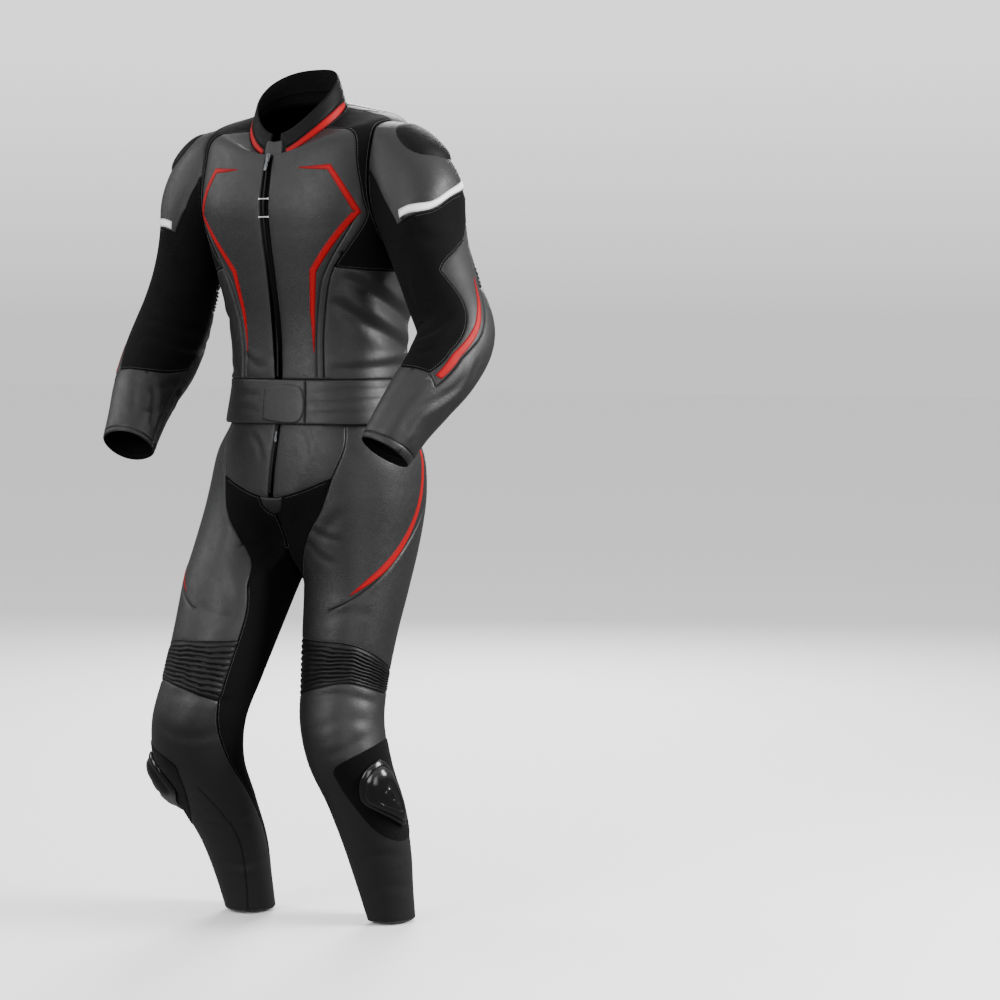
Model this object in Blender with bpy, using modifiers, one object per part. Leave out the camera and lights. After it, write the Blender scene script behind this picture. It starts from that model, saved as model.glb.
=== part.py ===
"""Two-piece leather motorcycle race suit, jacket zipped over trousers, hollow and filled out as worn.

Each cut piece is a wall between two offsets of a smooth form: a torso, two sleeves, two legs and a
collar. A form is a tube through rows of sizes. A place on it is (round, along): degrees round the
tube, and metres along it. Metres, +Z up, the wearer faces -Y and the wearer's left is +X. The origin
is at the neck, at the height of the collar's seam.
"""

import math

import bpy
import numpy as np
from mathutils import Vector
from mathutils.geometry import delaunay_2d_cdt

# Leather and gaps
WALL = 0.0018           # leather and stretch cloth
SEAM = 0.0003           # gap between two pieces at a seam
REST = 0.0004           # gap under what lies on a panel
TRIM = 0.0012           # inlay stripes
PAD = 0.0050            # padded back and shoulder panels
TAB = 0.0020            # closing tabs and hook-and-loop patches

# Lengths along the forms
NECK = 0.620            # torso, hem to collar seam
BAND = 0.075            # height of the jacket's hem band
CUFF = 0.535            # sleeve, armhole to cuff
CAP = 0.080             # stretch of sleeve that turns from armhole to tube
UNDERARM = 0.155        # how much lower the sleeve starts under the arm
WAIST = -0.490          # top of the trousers, under the jacket
CROTCH = -0.735
HEM = -1.395
FRONT_CENTRE, BACK_CENTRE = -50.0, 230.0    # round the leg form
CROTCH_SPAN = 310.0 - BACK_CENTRE
LEG_START, LEG_FULL = -0.560, -0.810        # heights between which hips turn into legs
ZIP_HALF = 3.5          # degrees of the torso
FLY_HALF = 3.0          # degrees of the leg form
COLLAR_EDGE = 8.0

TORSO_ROWS = (
    # along, height, half_width, front, back, neck_drop, fullness
    (0.000, -0.525, 0.168, 0.140, 0.122, 0.000, 2.3),
    (0.075, -0.450, 0.155, 0.132, 0.112, 0.000, 2.3),
    (0.165, -0.360, 0.158, 0.135, 0.112, 0.000, 2.3),
    (0.245, -0.280, 0.172, 0.150, 0.113, 0.000, 2.4),
    (0.325, -0.200, 0.186, 0.165, 0.110, 0.008, 2.5),
    (0.395, -0.130, 0.194, 0.170, 0.102, 0.030, 2.5),
    (0.455, -0.063, 0.194, 0.163, 0.088, 0.054, 2.4),
    (0.495, -0.015, 0.189, 0.155, 0.070, 0.070, 2.3),
    (0.530, 0.007, 0.167, 0.150, 0.048, 0.084, 2.2),
    (0.565, 0.014, 0.134, 0.146, 0.028, 0.093, 2.1),
    (0.600, 0.018, 0.104, 0.144, 0.012, 0.099, 2.0),
    (0.620, 0.020, 0.085, 0.142, 0.003, 0.102, 2.0),
)
HIP_ROWS = (
    # height, half_width, front, back, sway, fullness
    (-0.450, 0.150, 0.126, 0.106, 0.000, 2.3),
    (-0.525, 0.1565, 0.133, 0.115, 0.000, 2.3),
    (-0.570, 0.182, 0.139, 0.132, -0.004, 2.3),
    (-0.640, 0.194, 0.140, 0.148, -0.012, 2.3),
    (-0.700, 0.197, 0.136, 0.150, -0.017, 2.3),
    (-0.760, 0.197, 0.130, 0.142, -0.018, 2.3),
    (-0.850, 0.197, 0.128, 0.140, -0.018, 2.3),
    (-1.395, 0.197, 0.128, 0.140, -0.018, 2.3),
)
LEG_ROWS = {
    "left": (
        # height, centre_x, centre_y, half_width, front, back
        (-0.450, 0.085, 0.000, 0.090, 0.124, 0.110),
        (-0.640, 0.092, 0.004, 0.096, 0.120, 0.128),
        (-0.740, 0.092, 0.000, 0.090, 0.106, 0.114),
        (-0.800, 0.091, -0.008, 0.086, 0.095, 0.100),
        (-0.880, 0.088, -0.024, 0.079, 0.086, 0.086),
        (-0.960, 0.086, -0.038, 0.074, 0.080, 0.076),
        (-1.030, 0.092, -0.054, 0.072, 0.078, 0.067),
        (-1.100, 0.104, -0.052, 0.071, 0.072, 0.068),
        (-1.180, 0.112, -0.016, 0.065, 0.063, 0.068),
        (-1.270, 0.110, 0.026, 0.056, 0.055, 0.060),
        (-1.340, 0.105, 0.054, 0.049, 0.048, 0.050),
        (-1.395, 0.102, 0.074, 0.044, 0.045, 0.045),
    ),
    "right": (
        (-0.450, 0.085, 0.000, 0.090, 0.124, 0.110),
        (-0.640, 0.092, -0.016, 0.104, 0.125, 0.130),
        (-0.740, 0.092, -0.056, 0.104, 0.112, 0.120),
        (-0.800, 0.094, -0.086, 0.099, 0.100, 0.106),
        (-0.880, 0.098, -0.122, 0.090, 0.091, 0.093),
        (-0.960, 0.108, -0.152, 0.084, 0.085, 0.082),
        (-1.030, 0.124, -0.165, 0.080, 0.083, 0.070),
        (-1.100, 0.142, -0.145, 0.077, 0.075, 0.070),
        (-1.180, 0.158, -0.082, 0.068, 0.064, 0.070),
        (-1.270, 0.163, -0.020, 0.056, 0.055, 0.060),
        (-1.340, 0.162, 0.006, 0.048, 0.047, 0.050),
        (-1.395, 0.160, 0.022, 0.043, 0.044, 0.045),
    ),
}
SLEEVE_ROWS = {
    "left": (
        # along, centre_x, centre_y, centre_z, half_side, half_front
        (0.000, 0.198, -0.055, -0.060, 0.091, 0.087),
        (0.060, 0.226, -0.061, -0.133, 0.082, 0.083),
        (0.140, 0.262, -0.076, -0.225, 0.064, 0.070),
        (0.225, 0.303, -0.092, -0.305, 0.060, 0.064),
        (0.300, 0.338, -0.108, -0.375, 0.060, 0.064),
        (0.360, 0.336, -0.145, -0.425, 0.057, 0.062),
        (0.420, 0.322, -0.185, -0.470, 0.052, 0.055),
        (0.480, 0.306, -0.220, -0.515, 0.046, 0.049),
        (0.535, 0.292, -0.248, -0.560, 0.043, 0.045),
    ),
    "right": (
        (0.000, 0.194, -0.050, -0.060, 0.089, 0.085),
        (0.060, 0.216, -0.046, -0.133, 0.074, 0.078),
        (0.140, 0.240, -0.048, -0.225, 0.057, 0.065),
        (0.225, 0.252, -0.064, -0.305, 0.057, 0.063),
        (0.295, 0.259, -0.088, -0.370, 0.060, 0.067),
        (0.350, 0.253, -0.127, -0.418, 0.060, 0.066),
        (0.405, 0.244, -0.176, -0.466, 0.053, 0.057),
        (0.460, 0.235, -0.214, -0.514, 0.046, 0.049),
        (0.535, 0.226, -0.250, -0.562, 0.042, 0.044),
    ),
}

# Seams of the jacket's body, left half: (round, along)
FRONT_LOW = ((38, 0.075), (38, 0.152), (42, 0.228), (46, 0.262))
FRONT_HIGH = ((46, 0.262), (63, 0.345), (62, 0.390), (61, 0.460), (66, 0.540), (68, 0.620))
UNDER_SEAM = ((46, 0.262), (70, 0.257), (92, 0.260), (95, 0.306))
SHOULDER_SEAM = ((108, 0.620), (101, 0.580), (90.2, 0.523))
SIDE_SEAM = ((112, 0.165), (114, 0.224), (116, 0.300), (116, 0.360), (113, 0.420), (109, 0.500),
             (111, 0.560), (122, 0.620))
BACK_LOW = ((112, 0.075), (112, 0.165))
BACK_HIGH = ((112, 0.165), (119, 0.240), (122.5, 0.300), (127, 0.322), (161, 0.402))
BACK_TOP = ((161, 0.402), (166, 0.445), (166, 0.500), (160, 0.555), (150, 0.620))
BACK_POINT = ((161, 0.402), (163, 0.362), (169, 0.322), (180, 0.310))
NECK_STOPS = (3.5, 8, 20, 35, 50, 68, 88, 108, 122, 136, 150, 165, 180)
HEM_STOPS = (3.5, 20, 38, 56, 75, 94, 112, 129, 146, 163, 180)
BAND_GAP = 24.0         # where the hem band closes, degrees round the torso

# Sleeve seams: (round, along), 0 outer, 90 front, 180 inner, -90 back
ARM_STOPS = (-160, -150, -135, -120, -105, -90, -75, -60, -45, -30, -15, 0, 15, 30, 45, 60, 74, 90,
             105, 120, 135, 150, 165, 180, 200)
CAP_FRONT = ((74, 0.0), (88, 0.028), (90, 0.058))
CAP_LOW = ((90, 0.058), (76, 0.070), (40, 0.103), (8, 0.099), (-22, 0.080), (-56, 0.038))
CAP_BACK = ((-56, 0.038), (-56, 0.062))
OUTER_TOP = ((-56, 0.062), (-20, 0.148), (14, 0.180), (44, 0.191), (52, 0.196), (49, 0.208), (41, 0.238),
             (37, 0.276), (46, 0.316), (58, 0.360), (70, 0.392))
OUTER_BACK = ((-56, 0.062), (-62, 0.112))
OUTER_END = ((70, 0.392), (47, 0.412))
OUTER_LOW_A = ((-62, 0.112), (-24, 0.190))
OUTER_LOW_B = ((-24, 0.190), (-14, 0.245))
OUTER_LOW_C = ((-14, 0.245), (8, 0.303), (28, 0.337), (39, 0.372), (47, 0.412))
ELBOW_TOP = ((-160, 0.075), (-120, 0.105), (-70, 0.156), (-24, 0.190))
ELBOW_LOW = ((-160, 0.125), (-110, 0.165), (-68, 0.200), (-36, 0.232), (-14, 0.245))
STRETCH_LOW = ((200, 0.300), (164, 0.344), (124, 0.374), (94, 0.386), (70, 0.392))

# Leg seams: (round, height), 0 front, 90 outer, 180 back, 270 inner
HIP_SIDE = ((33, -0.490), (30, -0.530), (26, -0.565), (14, -0.615))
HIP_LOW = ((14, -0.615), (-16, -0.638), (-36, -0.648))
THIGH_FRONT = ((14, -0.615), (2, -0.672), (-16, -0.718), (-34, -0.768), (-49, -0.835), (-51, -0.890))
YOKE_EDGE = ((122, -0.490), (130, -0.508), (150, -0.535), (174, -0.560), (190, -0.580))
YOKE_LOW = ((190, -0.580), (210, -0.586), (230, -0.586))
THIGH_BACK = ((190, -0.580), (182, -0.650), (164, -0.755), (139, -0.908))
SEAT_LOW = ((230, -0.735), (231, -0.768), (228, -0.805), (212, -0.862), (182, -0.898), (139, -0.908))
KNEE_TOP = ((-51, -0.890), (0, -0.892), (40, -0.898), (100, -0.935), (132, -0.950))
KNEE_LOW = ((-51, -0.990), (0, -0.968), (40, -0.960), (100, -0.982), (132, -0.985))
KNEE_OUT = ((132, -0.950), (132, -0.985))
KNEE_IN = ((-51, -0.890), (-51, -0.990))
KNEE_UP = ((139, -0.908), (132, -0.950))
SHIN_BACK = ((132, -0.985), (141, -1.040), (143, -1.120), (141, -1.220), (132, -1.300), (128, -1.395))
SHIN_IN = ((-51, -0.990), (-60, -1.040), (-78, -1.100), (-98, -1.160), (-116, -1.240), (-124, -1.395))
GUSSET = ((-36, -0.648), (-38, -0.664), (-44, -0.676), (-50, -0.680))
GUSSET_TOP = ((-36, -0.648), (-46, -0.650))

# What lies on the panels: centre lines with half widths, or closed outlines
CHEST_STRIPE = ((28, 0.468, 0.001), (47, 0.458, 0.004), (59, 0.365, 0.005), (33, 0.256, 0.005),
                (31, 0.188, 0.004), (31, 0.120, 0.001))
BACK_STRIPE = ((134, 0.578, 0.001), (154, 0.548, 0.004), (161, 0.500, 0.0045), (161, 0.448, 0.0045),
               (155, 0.402, 0.005), (122.5, 0.325, 0.005), (119.2, 0.296, 0.0045),
               (115.8, 0.215, 0.0012))
ARM_STRIPE = ((82, 0.057, 0.0055), (70, 0.067, 0.0055), (40, 0.095, 0.0055), (8, 0.091, 0.0055),
              (-22, 0.0715, 0.0055), (-43, 0.0435, 0.0045))
FOREARM_STRIPE = ((-8, 0.228, 0.0010), (4, 0.262, 0.0032), (19, 0.294, 0.0052), (36, 0.328, 0.0066),
                  (47, 0.362, 0.0075), (54, 0.395, 0.006))
THIGH_STRIPE = ((120, -0.527, 0.0040), (112, -0.560, 0.0048), (108, -0.600, 0.0052),
                (104, -0.645, 0.0056), (96, -0.690, 0.0060), (82, -0.730, 0.0066),
                (64, -0.764, 0.0066), (46, -0.789, 0.0050), (28, -0.812, 0.001))
SHOULDER_PAD = ((-42, 0.016), (-10, 0.012), (26, 0.016), (38, 0.028), (30, 0.044), (0, 0.054),
                (-30, 0.046), (-44, 0.032))
LUMBAR_PAD = ((126, 0.094), (180, 0.093), (234, 0.094), (235, 0.128), (229, 0.160), (213, 0.196),
              (202, 0.206), (180, 0.208), (158, 0.206), (147, 0.196), (131, 0.160), (125, 0.128))
BELT_TAB = ((351, 0.006), (380, 0.006), (380, 0.062), (351, 0.062), (348, 0.050), (348, 0.018))
KNEE_PATCH = ((14, -1.102), (48, -1.078), (90, -1.062), (122, -1.062), (134, -1.085), (137, -1.140),
              (135, -1.200), (125, -1.230), (98, -1.241), (66, -1.234), (38, -1.210), (19, -1.165),
              (12, -1.128))
KNEE_PUCK = ((34, -1.150), (43, -1.120), (59, -1.099), (79, -1.089), (95, -1.103), (103, -1.133),
             (105, -1.172), (102, -1.203), (91, -1.211), (69, -1.194), (47, -1.175), (36, -1.163))
PUCK_CENTRE = (72, -1.148)
KNEE_TURN = {"left": 0, "right": -15}    # degrees that each leg's patch and puck sit further round
PUCK_RINGS = ((0.74, 0.011), (0.42, 0.015), (0.0, 0.016))    # scale of the outline, height

# Zips
SLIDER = (0.0085, 0.0036, 0.0150)       # width, depth, length
PULL = (0.0060, 0.0014, 0.0240)
FLY_PULL = (0.0050, 0.0012, 0.0180)
SLIDER_AT, FLY_PULL_AT = 0.500, -0.5380

# Grid of the facets: degrees round, metres along
TORSO_GRID = (15.0, 0.052)
SLEEVE_GRID = (24.0, 0.050)
LEG_GRID = (24.0, 0.056)


def table_at(rows, place):
    """Values of a table at places in its first column, on a smooth curve through its rows."""
    rows = np.asarray(rows, float)
    key, values = rows[:, 0], rows[:, 1:]
    if key[0] > key[-1]:
        key, values = key[::-1], values[::-1]
    gap = np.diff(key)[:, None]
    slope = np.diff(values, axis=0) / gap
    middle = (gap[1:] * slope[:-1] + gap[:-1] * slope[1:]) / (gap[1:] + gap[:-1])
    lean = np.vstack([slope[:1], middle, slope[-1:]])
    place = np.atleast_1d(np.asarray(place, float))
    cell = np.clip(np.searchsorted(key, place, side="right") - 1, 0, len(gap) - 1)
    t = ((place - key[cell]) / gap[cell, 0])[:, None]
    size = gap[cell]
    return ((2 * t**3 - 3 * t**2 + 1) * values[cell] + (t**3 - 2 * t**2 + t) * size * lean[cell]
            + (3 * t**2 - 2 * t**3) * values[cell + 1] + (t**3 - t**2) * size * lean[cell + 1])


def ease(t):
    t = np.clip(t, 0.0, 1.0)
    return t * t * (3 - 2 * t)


def oval(angle, side, ahead, fullness):
    """Distance from the centre of a full oval to its edge."""
    reach = np.abs(np.sin(angle) / side)**fullness + np.abs(np.cos(angle) / ahead)**fullness
    return reach**(-1 / fullness)


def torso(around, along):
    """0 front, 90 the wearer's left, 180 back; along from the hem to the neck."""
    height, half, front, back, drop, full = table_at(TORSO_ROWS, along).T
    angle = np.radians(around)
    middle, deep = (back - front) / 2, (back + front) / 2
    reach = oval(angle, half, deep, full)
    z = height - drop * ((1 + np.cos(angle)) / 2)**1.8
    return np.stack([reach * np.sin(angle), middle - reach * np.cos(angle), z], axis=-1)


def collar(around, along):
    """Stand collar on the neck ring; along 0 at the seam, 1 at the top."""
    angle = np.radians(around)
    base = torso(around, np.full(len(angle), NECK))
    tall = 0.041 + 0.014 * ((1 - np.cos(angle)) / 2)**1.5
    lean = np.stack([-0.28 * np.sin(angle), 0.22 * np.cos(angle), np.ones_like(angle)], axis=-1)
    return base + lean * (tall * along)[:, None]


def armhole(around):
    """Place on the torso form of a point round the left armhole, 0 top, 90 front, 180 under."""
    angle = np.radians(around)
    return 85.0 - 20.0 * np.sin(angle), 0.4085 + 0.1185 * np.cos(angle)


def sleeve(side, around, along):
    """Tube down the arm that starts on the armhole."""
    rows = SLEEVE_ROWS[side]
    angle = np.radians(around)
    late = UNDERARM * (1 - np.cos(angle)) / 2
    place = late + along * (1 - late / CUFF)
    middle = table_at(rows, place)
    run = table_at(rows, place + 0.002)[:, :3] - table_at(rows, place - 0.002)[:, :3]
    run /= np.linalg.norm(run, axis=1)[:, None]
    ahead = np.array([0.0, -1.0, 0.0]) + run * run[:, 1:2]
    ahead /= np.linalg.norm(ahead, axis=1)[:, None]
    out = np.cross(run, ahead)
    out *= np.sign(out[:, :1])
    reach = oval(angle, middle[:, 4], middle[:, 3], 2.15)
    tube = middle[:, :3] + (reach * np.cos(angle))[:, None] * out + (reach * np.sin(angle))[:, None] * ahead
    turned = (1 - (1 - np.clip(along / CAP, 0, 1))**2)[:, None]
    start = torso(*armhole(around)) + (SEAM, 0.0, 0.0)
    point = start * (1 - turned) + tube * turned
    return point * (np.array([1.0, 1.0, 1.0]) if side == "left" else np.array([-1.0, 1.0, 1.0]))


def leg(side, around, height):
    """Half of the hips that turns into a leg below; from the front centre round the outside to the
    back centre, then along the crotch and the inner leg."""
    around = (np.asarray(around, float) - FRONT_CENTRE) % 360 + FRONT_CENTRE
    half, front, back, sway, full = table_at(HIP_ROWS, height).T
    centre_x, centre_y, wide, ahead, behind = table_at(LEG_ROWS[side], height).T
    angle = np.radians(around)
    reach = oval(angle, wide, np.where(np.cos(angle) > 0, ahead, behind), 2.1)
    tube = np.stack([centre_x + reach * np.sin(angle), centre_y - reach * np.cos(angle)], axis=-1)

    outside = around <= BACK_CENTRE
    sweep = np.clip((around - FRONT_CENTRE) / (BACK_CENTRE - FRONT_CENTRE), 0, 1)
    turn = sweep * math.pi
    middle, deep = (back - front) / 2, (back + front) / 2
    reach = oval(turn, half, deep, full)
    hip = np.stack([reach * np.sin(turn), middle - reach * np.cos(turn)], axis=-1)
    cross = np.clip((around - BACK_CENTRE) / CROTCH_SPAN, 0, 1)
    hip = np.where(outside[:, None], hip, np.stack([0 * cross, back * (1 - cross) - front * cross], axis=-1))

    centre = np.where(outside, 1 - ease(np.minimum(sweep, 1 - sweep) * 5.5), 1.0)
    hip[:, 1] *= 1 - 0.36 * centre * ease((-0.640 - height) / (-0.640 - CROTCH))
    start = LEG_START + (CROTCH - LEG_START) * centre
    turned = ease((start - height) / (start - LEG_FULL - 0.01 * centre))[:, None]
    point = hip * (1 - turned) + tube * turned
    below = np.clip(CROTCH - height, 0, None)
    clear = SEAM + below * 0.12
    soft = np.minimum(below, 0.04) * 0.25
    kept = (point[:, 0] + clear + np.sqrt((point[:, 0] - clear)**2 + soft**2)) / 2
    x = np.where(outside & (height > CROTCH), point[:, 0], kept)
    mirror = 1.0 if side == "left" else -1.0
    return np.stack([mirror * x + sway, point[:, 1], height], axis=-1)


def hips(around, height):
    """Both halves of the hips as one form: 0 front centre, 180 back centre, past it the right side."""
    around = np.asarray(around, float) % 360
    beyond = around > 180
    half = np.where(beyond, 360 - around, around)
    place = FRONT_CENTRE + half * (BACK_CENTRE - FRONT_CENTRE) / 180
    return np.where(beyond[:, None], leg("right", place, height), leg("left", place, height))


def to_hips(points, side):
    """Places on a leg form as places on the whole hips."""
    turned = [((u - FRONT_CENTRE) * 180 / (BACK_CENTRE - FRONT_CENTRE), v) for u, v in points]
    return turned if side == "left" else [(360 - u, v) for u, v in turned]


# A chart is (form, grid, metres a degree, +1 where round x along points out and -1 where it points in)
CHARTS = {
    "torso": (torso, TORSO_GRID, 0.0029, 1),
    "collar": (collar, (15.0, 0.6), 0.0015, 1),
    "hips": (hips, (15.0, 0.050), 0.0029, 1),
    "sleeve_left": (lambda u, v: sleeve("left", u, v), SLEEVE_GRID, 0.00113, 1),
    "sleeve_right": (lambda u, v: sleeve("right", u, v), SLEEVE_GRID, 0.00113, -1),
    "leg_left": (lambda u, v: leg("left", u, v), LEG_GRID, 0.00145, 1),
    "leg_right": (lambda u, v: leg("right", u, v), LEG_GRID, 0.00145, -1),
}


def outward(chart, places):
    """Unit normals of a form at the given places."""
    form, _, _, facing = CHARTS[chart]
    u, v = places[:, 0], places[:, 1]
    du, dv = 0.6, 0.0015
    across = form(u + du, v) - form(u - du, v)
    along = form(u, v + dv) - form(u, v - dv)
    normal = np.cross(across, along) * facing
    return normal / np.linalg.norm(normal, axis=1)[:, None]


def trace(points, grid):
    """Points on a smooth line through a seam's own points, about a facet apart."""
    rows = np.array([points[0], *points, points[-1]], float)
    line = []
    for before, start, end, after in zip(rows, rows[1:], rows[2:], rows[3:]):
        steps = max(1, math.ceil(math.hypot(*((end - start) / grid)) - 0.35))
        for t in np.arange(steps) / steps:
            spot = (2 * start + (end - before) * t + (2 * before - 5 * start + 4 * end - after) * t**2
                    + (3 * start - before - 3 * end + after) * t**3) / 2
            line.append((float(spot[0]), float(spot[1])))
    line.append(tuple(map(float, points[-1])))
    return line


def mirrored(line):
    return [(360 - u, v) for u, v in line]


def loop(*lines):
    """Closed outline from lines that meet end to end, each turned as needed."""
    outline = list(lines[0])
    for line in lines[1:]:
        line = list(line)
        if math.dist(line[0], outline[-1]) > 1e-9:
            line.reverse()
        outline.extend(line[1:])
    return outline[:-1] if math.dist(outline[0], outline[-1]) < 1e-9 else outline


def ribbon(rows, metres):
    """Outline of a stripe from its centre line and half widths."""
    rows = np.array(rows, float)
    flat = rows[:, :2] * (metres, 1.0)
    run = np.gradient(flat, axis=0)
    run /= np.linalg.norm(run, axis=1)[:, None]
    side = np.stack([-run[:, 1], run[:, 0]], axis=1) * rows[:, 2:]
    left, right = (flat + side) / (metres, 1.0), (flat - side) / (metres, 1.0)
    return [tuple(p) for p in left] + [tuple(p) for p in right[::-1]]


def inside(point, outline):
    """Whether a flat point lies inside an outline."""
    odd = False
    for (ax, ay), (bx, by) in zip(outline, outline[1:] + outline[:1]):
        if (ay > point[1]) != (by > point[1]) and point[0] < (bx - ax) * (point[1] - ay) / (by - ay) + ax:
            odd = not odd
    return odd


def edge_gap(points, outline):
    """Distance of flat points from an outline."""
    start = np.array(outline)
    run = np.roll(start, -1, axis=0) - start
    length = np.maximum(np.sum(run * run, axis=1), 1e-12)
    offset = points[:, None] - start[None]
    t = np.clip(np.sum(offset * run, axis=2) / length, 0, 1)
    return np.min(np.linalg.norm(offset - t[:, :, None] * run, axis=2), axis=1)


def cut(outline, grid, loops=(), spots=None):
    """Flat triangles that fill an outline, with the loops on it as edges: places and faces."""
    scale = 1 / np.array(grid)
    flat = [tuple(p * scale) for p in np.array(outline)]
    flat_loops = [[tuple(p * scale) for p in np.array(line)] for line in loops]
    if spots is None:
        low, high = np.min(flat, axis=0), np.max(flat, axis=0)
        rows = np.arange(math.floor(low[1] / 0.87), math.ceil(high[1] / 0.87) + 1)
        spots = [(math.floor(low[0]) + k + 0.5 * (row % 2), row * 0.87)
                 for row in rows for k in range(math.ceil(high[0] - low[0]) + 2)]
        gap = 0.45
    else:
        spots = [tuple(p * scale) for p in np.array(spots)]
        gap = 0.05
    spots = [p for p in spots if inside(p, flat)]
    for line in [flat] + flat_loops:
        if spots:
            near = edge_gap(np.array(spots), line)
            spots = [p for p, far in zip(spots, near) if far > gap]
    places, edges = [], []
    for line in [flat] + flat_loops:
        first = len(places)
        places += line
        edges += [(first + k, first + (k + 1) % len(line)) for k in range(len(line))]
    places += spots
    result = delaunay_2d_cdt([Vector(p) for p in places], edges, [], 1, 1e-6)
    flat_places = np.array([tuple(p) for p in result[0]])
    faces = [tuple(face) for face in result[2]]
    return flat_places / scale, faces, flat_places, flat_loops


def wall(name, chart, places, faces, bottom, top, pull=(SEAM / 2, SEAM / 2), lift=None, material="leather"):
    """Closed wall between two offsets of a form. The rim is pulled in by pull, at bottom and top."""
    form, _, _, facing = CHARTS[chart]
    used = sorted({k for face in faces for k in face})
    index = {old: new for new, old in enumerate(used)}
    faces = [tuple(index[k] for k in (face if facing > 0 else face[::-1])) for face in faces]
    places = places[used]
    points = form(places[:, 0], places[:, 1])
    normal = outward(chart, places)
    rim = {}
    pairs = {(face[k], face[(k + 1) % 3]) for face in faces for k in range(3)}
    for a, b in pairs:
        if (b, a) not in pairs:
            rim[a] = b
    back = {b: a for a, b in rim.items()}
    inward = np.zeros_like(points)
    for here, after in rim.items():
        before = back[here]
        sides = []
        for a, b in ((before, here), (here, after)):
            side = np.cross(normal[here], points[b] - points[a])
            sides.append(side / np.linalg.norm(side))
        inward[here] = (sides[0] + sides[1]) / max(0.12, 1 + float(sides[0] @ sides[1]))
    rise = np.zeros(len(places)) if lift is None else np.asarray(lift)[used]
    lower = points + normal * (bottom + (rise if bottom < 0 else 0 * rise))[:, None] + inward * pull[0]
    upper = points + normal * (top + rise)[:, None] + inward * pull[1]
    count = len(places)
    shell = [face for face in faces] + [tuple(k + count for k in face[::-1]) for face in faces]
    level = points @ (1.0, 1.7, 2.3)
    for a, b in rim.items():
        if level[a] < level[b]:
            shell += [(b, a, b + count), (a, a + count, b + count)]
        else:
            shell += [(b, a, a + count), (b, a + count, b + count)]
    mesh = bpy.data.meshes.new(name)
    mesh.from_pydata([tuple(p) for p in np.vstack([upper, lower])], [], shell)
    return keep(name, mesh, material)


MATERIALS = {
    # colour, roughness, metallic
    "leather": ((0.045, 0.045, 0.047), 0.42, 0.0),
    "stretch": ((0.006, 0.006, 0.007), 0.85, 0.0),
    "red": ((0.560, 0.030, 0.030), 0.45, 0.0),
    "white": ((0.850, 0.850, 0.850), 0.35, 0.0),
    "hook": ((0.004, 0.004, 0.004), 0.95, 0.0),
    "plastic": ((0.010, 0.010, 0.011), 0.18, 0.0),
    "metal": ((0.300, 0.300, 0.310), 0.30, 1.0),
}


def keep(name, mesh, material):
    """Object of a mesh in the suit's collection, with its material."""
    item = bpy.data.objects.new(name, mesh)
    bpy.data.collections["race_suit"].objects.link(item)
    finish = bpy.data.materials.get(material)
    if finish is None:
        finish = bpy.data.materials.new(material)
        finish.use_nodes = True
        colour, roughness, metallic = MATERIALS[material]
        shader = finish.node_tree.nodes["Principled BSDF"]
        shader.inputs["Base Color"].default_value = (*colour, 1.0)
        shader.inputs["Roughness"].default_value = roughness
        shader.inputs["Metallic"].default_value = metallic
    mesh.materials.append(finish)
    return item


def panel(name, chart, outline, material="leather", trims=(), spots=None, lift=None):
    """A cut piece, and the trims that lie on it: (name, outline, bottom, top, bevel, material)."""
    grid = CHARTS[chart][1]
    places, faces, flat, loops = cut(outline, grid, [trim[1] for trim in trims], spots)
    rise = None if lift is None else lift(places)
    wall(name, chart, places, faces, -WALL, 0.0, material=material, lift=rise)
    for (trim_name, _, bottom, top, bevel, finish), line in zip(trims, loops):
        over = [face for face in faces if inside(np.mean(flat[list(face)], axis=0), line)]
        wall(trim_name, chart, places, over, bottom, top, (0.0, bevel), material=finish)


def accordion(name, chart, outline, top, low, ribs, depth, columns):
    """A ribbed stretch panel, its ridges and hollows in rows from its top line to its low line."""
    top, low = np.array(top, float), np.array(low, float)
    grid = CHARTS[chart][1]
    pitch = abs(top[:, 1].mean() - low[:, 1].mean()) / (2 * ribs)
    grid = (grid[0], pitch * 1.6)
    rows = {}
    for u in columns:
        high, deep = (float(np.interp(u, line[:, 0], line[:, 1])) for line in (top, low))
        for k in range(1, 2 * ribs):
            rows[(float(u), high + (deep - high) * k / (2 * ribs))] = depth if k % 2 else -depth * 0.4
    flat = np.array(list(rows)) / grid
    room = edge_gap(flat, [tuple(p) for p in np.array(outline) / grid])
    rows = {spot: rise * ease(gap / 1.1) for (spot, rise), gap in zip(rows.items(), room) if gap > 0.3}
    places, faces, _, _ = cut(outline, grid, (), list(rows))
    known = {(round(u, 3), round(v, 5)): rise for (u, v), rise in rows.items()}
    lift = [known.get((round(float(u), 3), round(float(v), 5)), 0.0) for u, v in places]
    wall(name, chart, places, faces, -WALL, 0.0, lift=lift)


def body_seams():
    """Seams of the jacket's body, left half."""
    tables = {"front_low": FRONT_LOW, "front_high": FRONT_HIGH, "under": UNDER_SEAM, "side": SIDE_SEAM,
              "shoulder": SHOULDER_SEAM, "back_low": BACK_LOW, "back_high": BACK_HIGH, "back_top": BACK_TOP,
              "back_point": BACK_POINT}
    seams = {name: trace(table, TORSO_GRID) for name, table in tables.items()}
    holes = {stop: tuple(map(float, armhole(np.array(float(stop))))) for stop in ARM_STOPS}
    seams["under"][-1] = holes[-150]
    seams["shoulder"][-1] = holes[-15]
    stops = list(ARM_STOPS)
    seams["arm_back"] = [holes[k] for k in stops[stops.index(-150):stops.index(-15) + 1]]
    front = [holes[k] for k in stops[stops.index(-15):]]
    seams["arm_front"] = front + [holes[-150]]
    return seams


def stretch_of(stops, first, last, along):
    return [(float(k), along) for k in stops if first <= k <= last]


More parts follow.
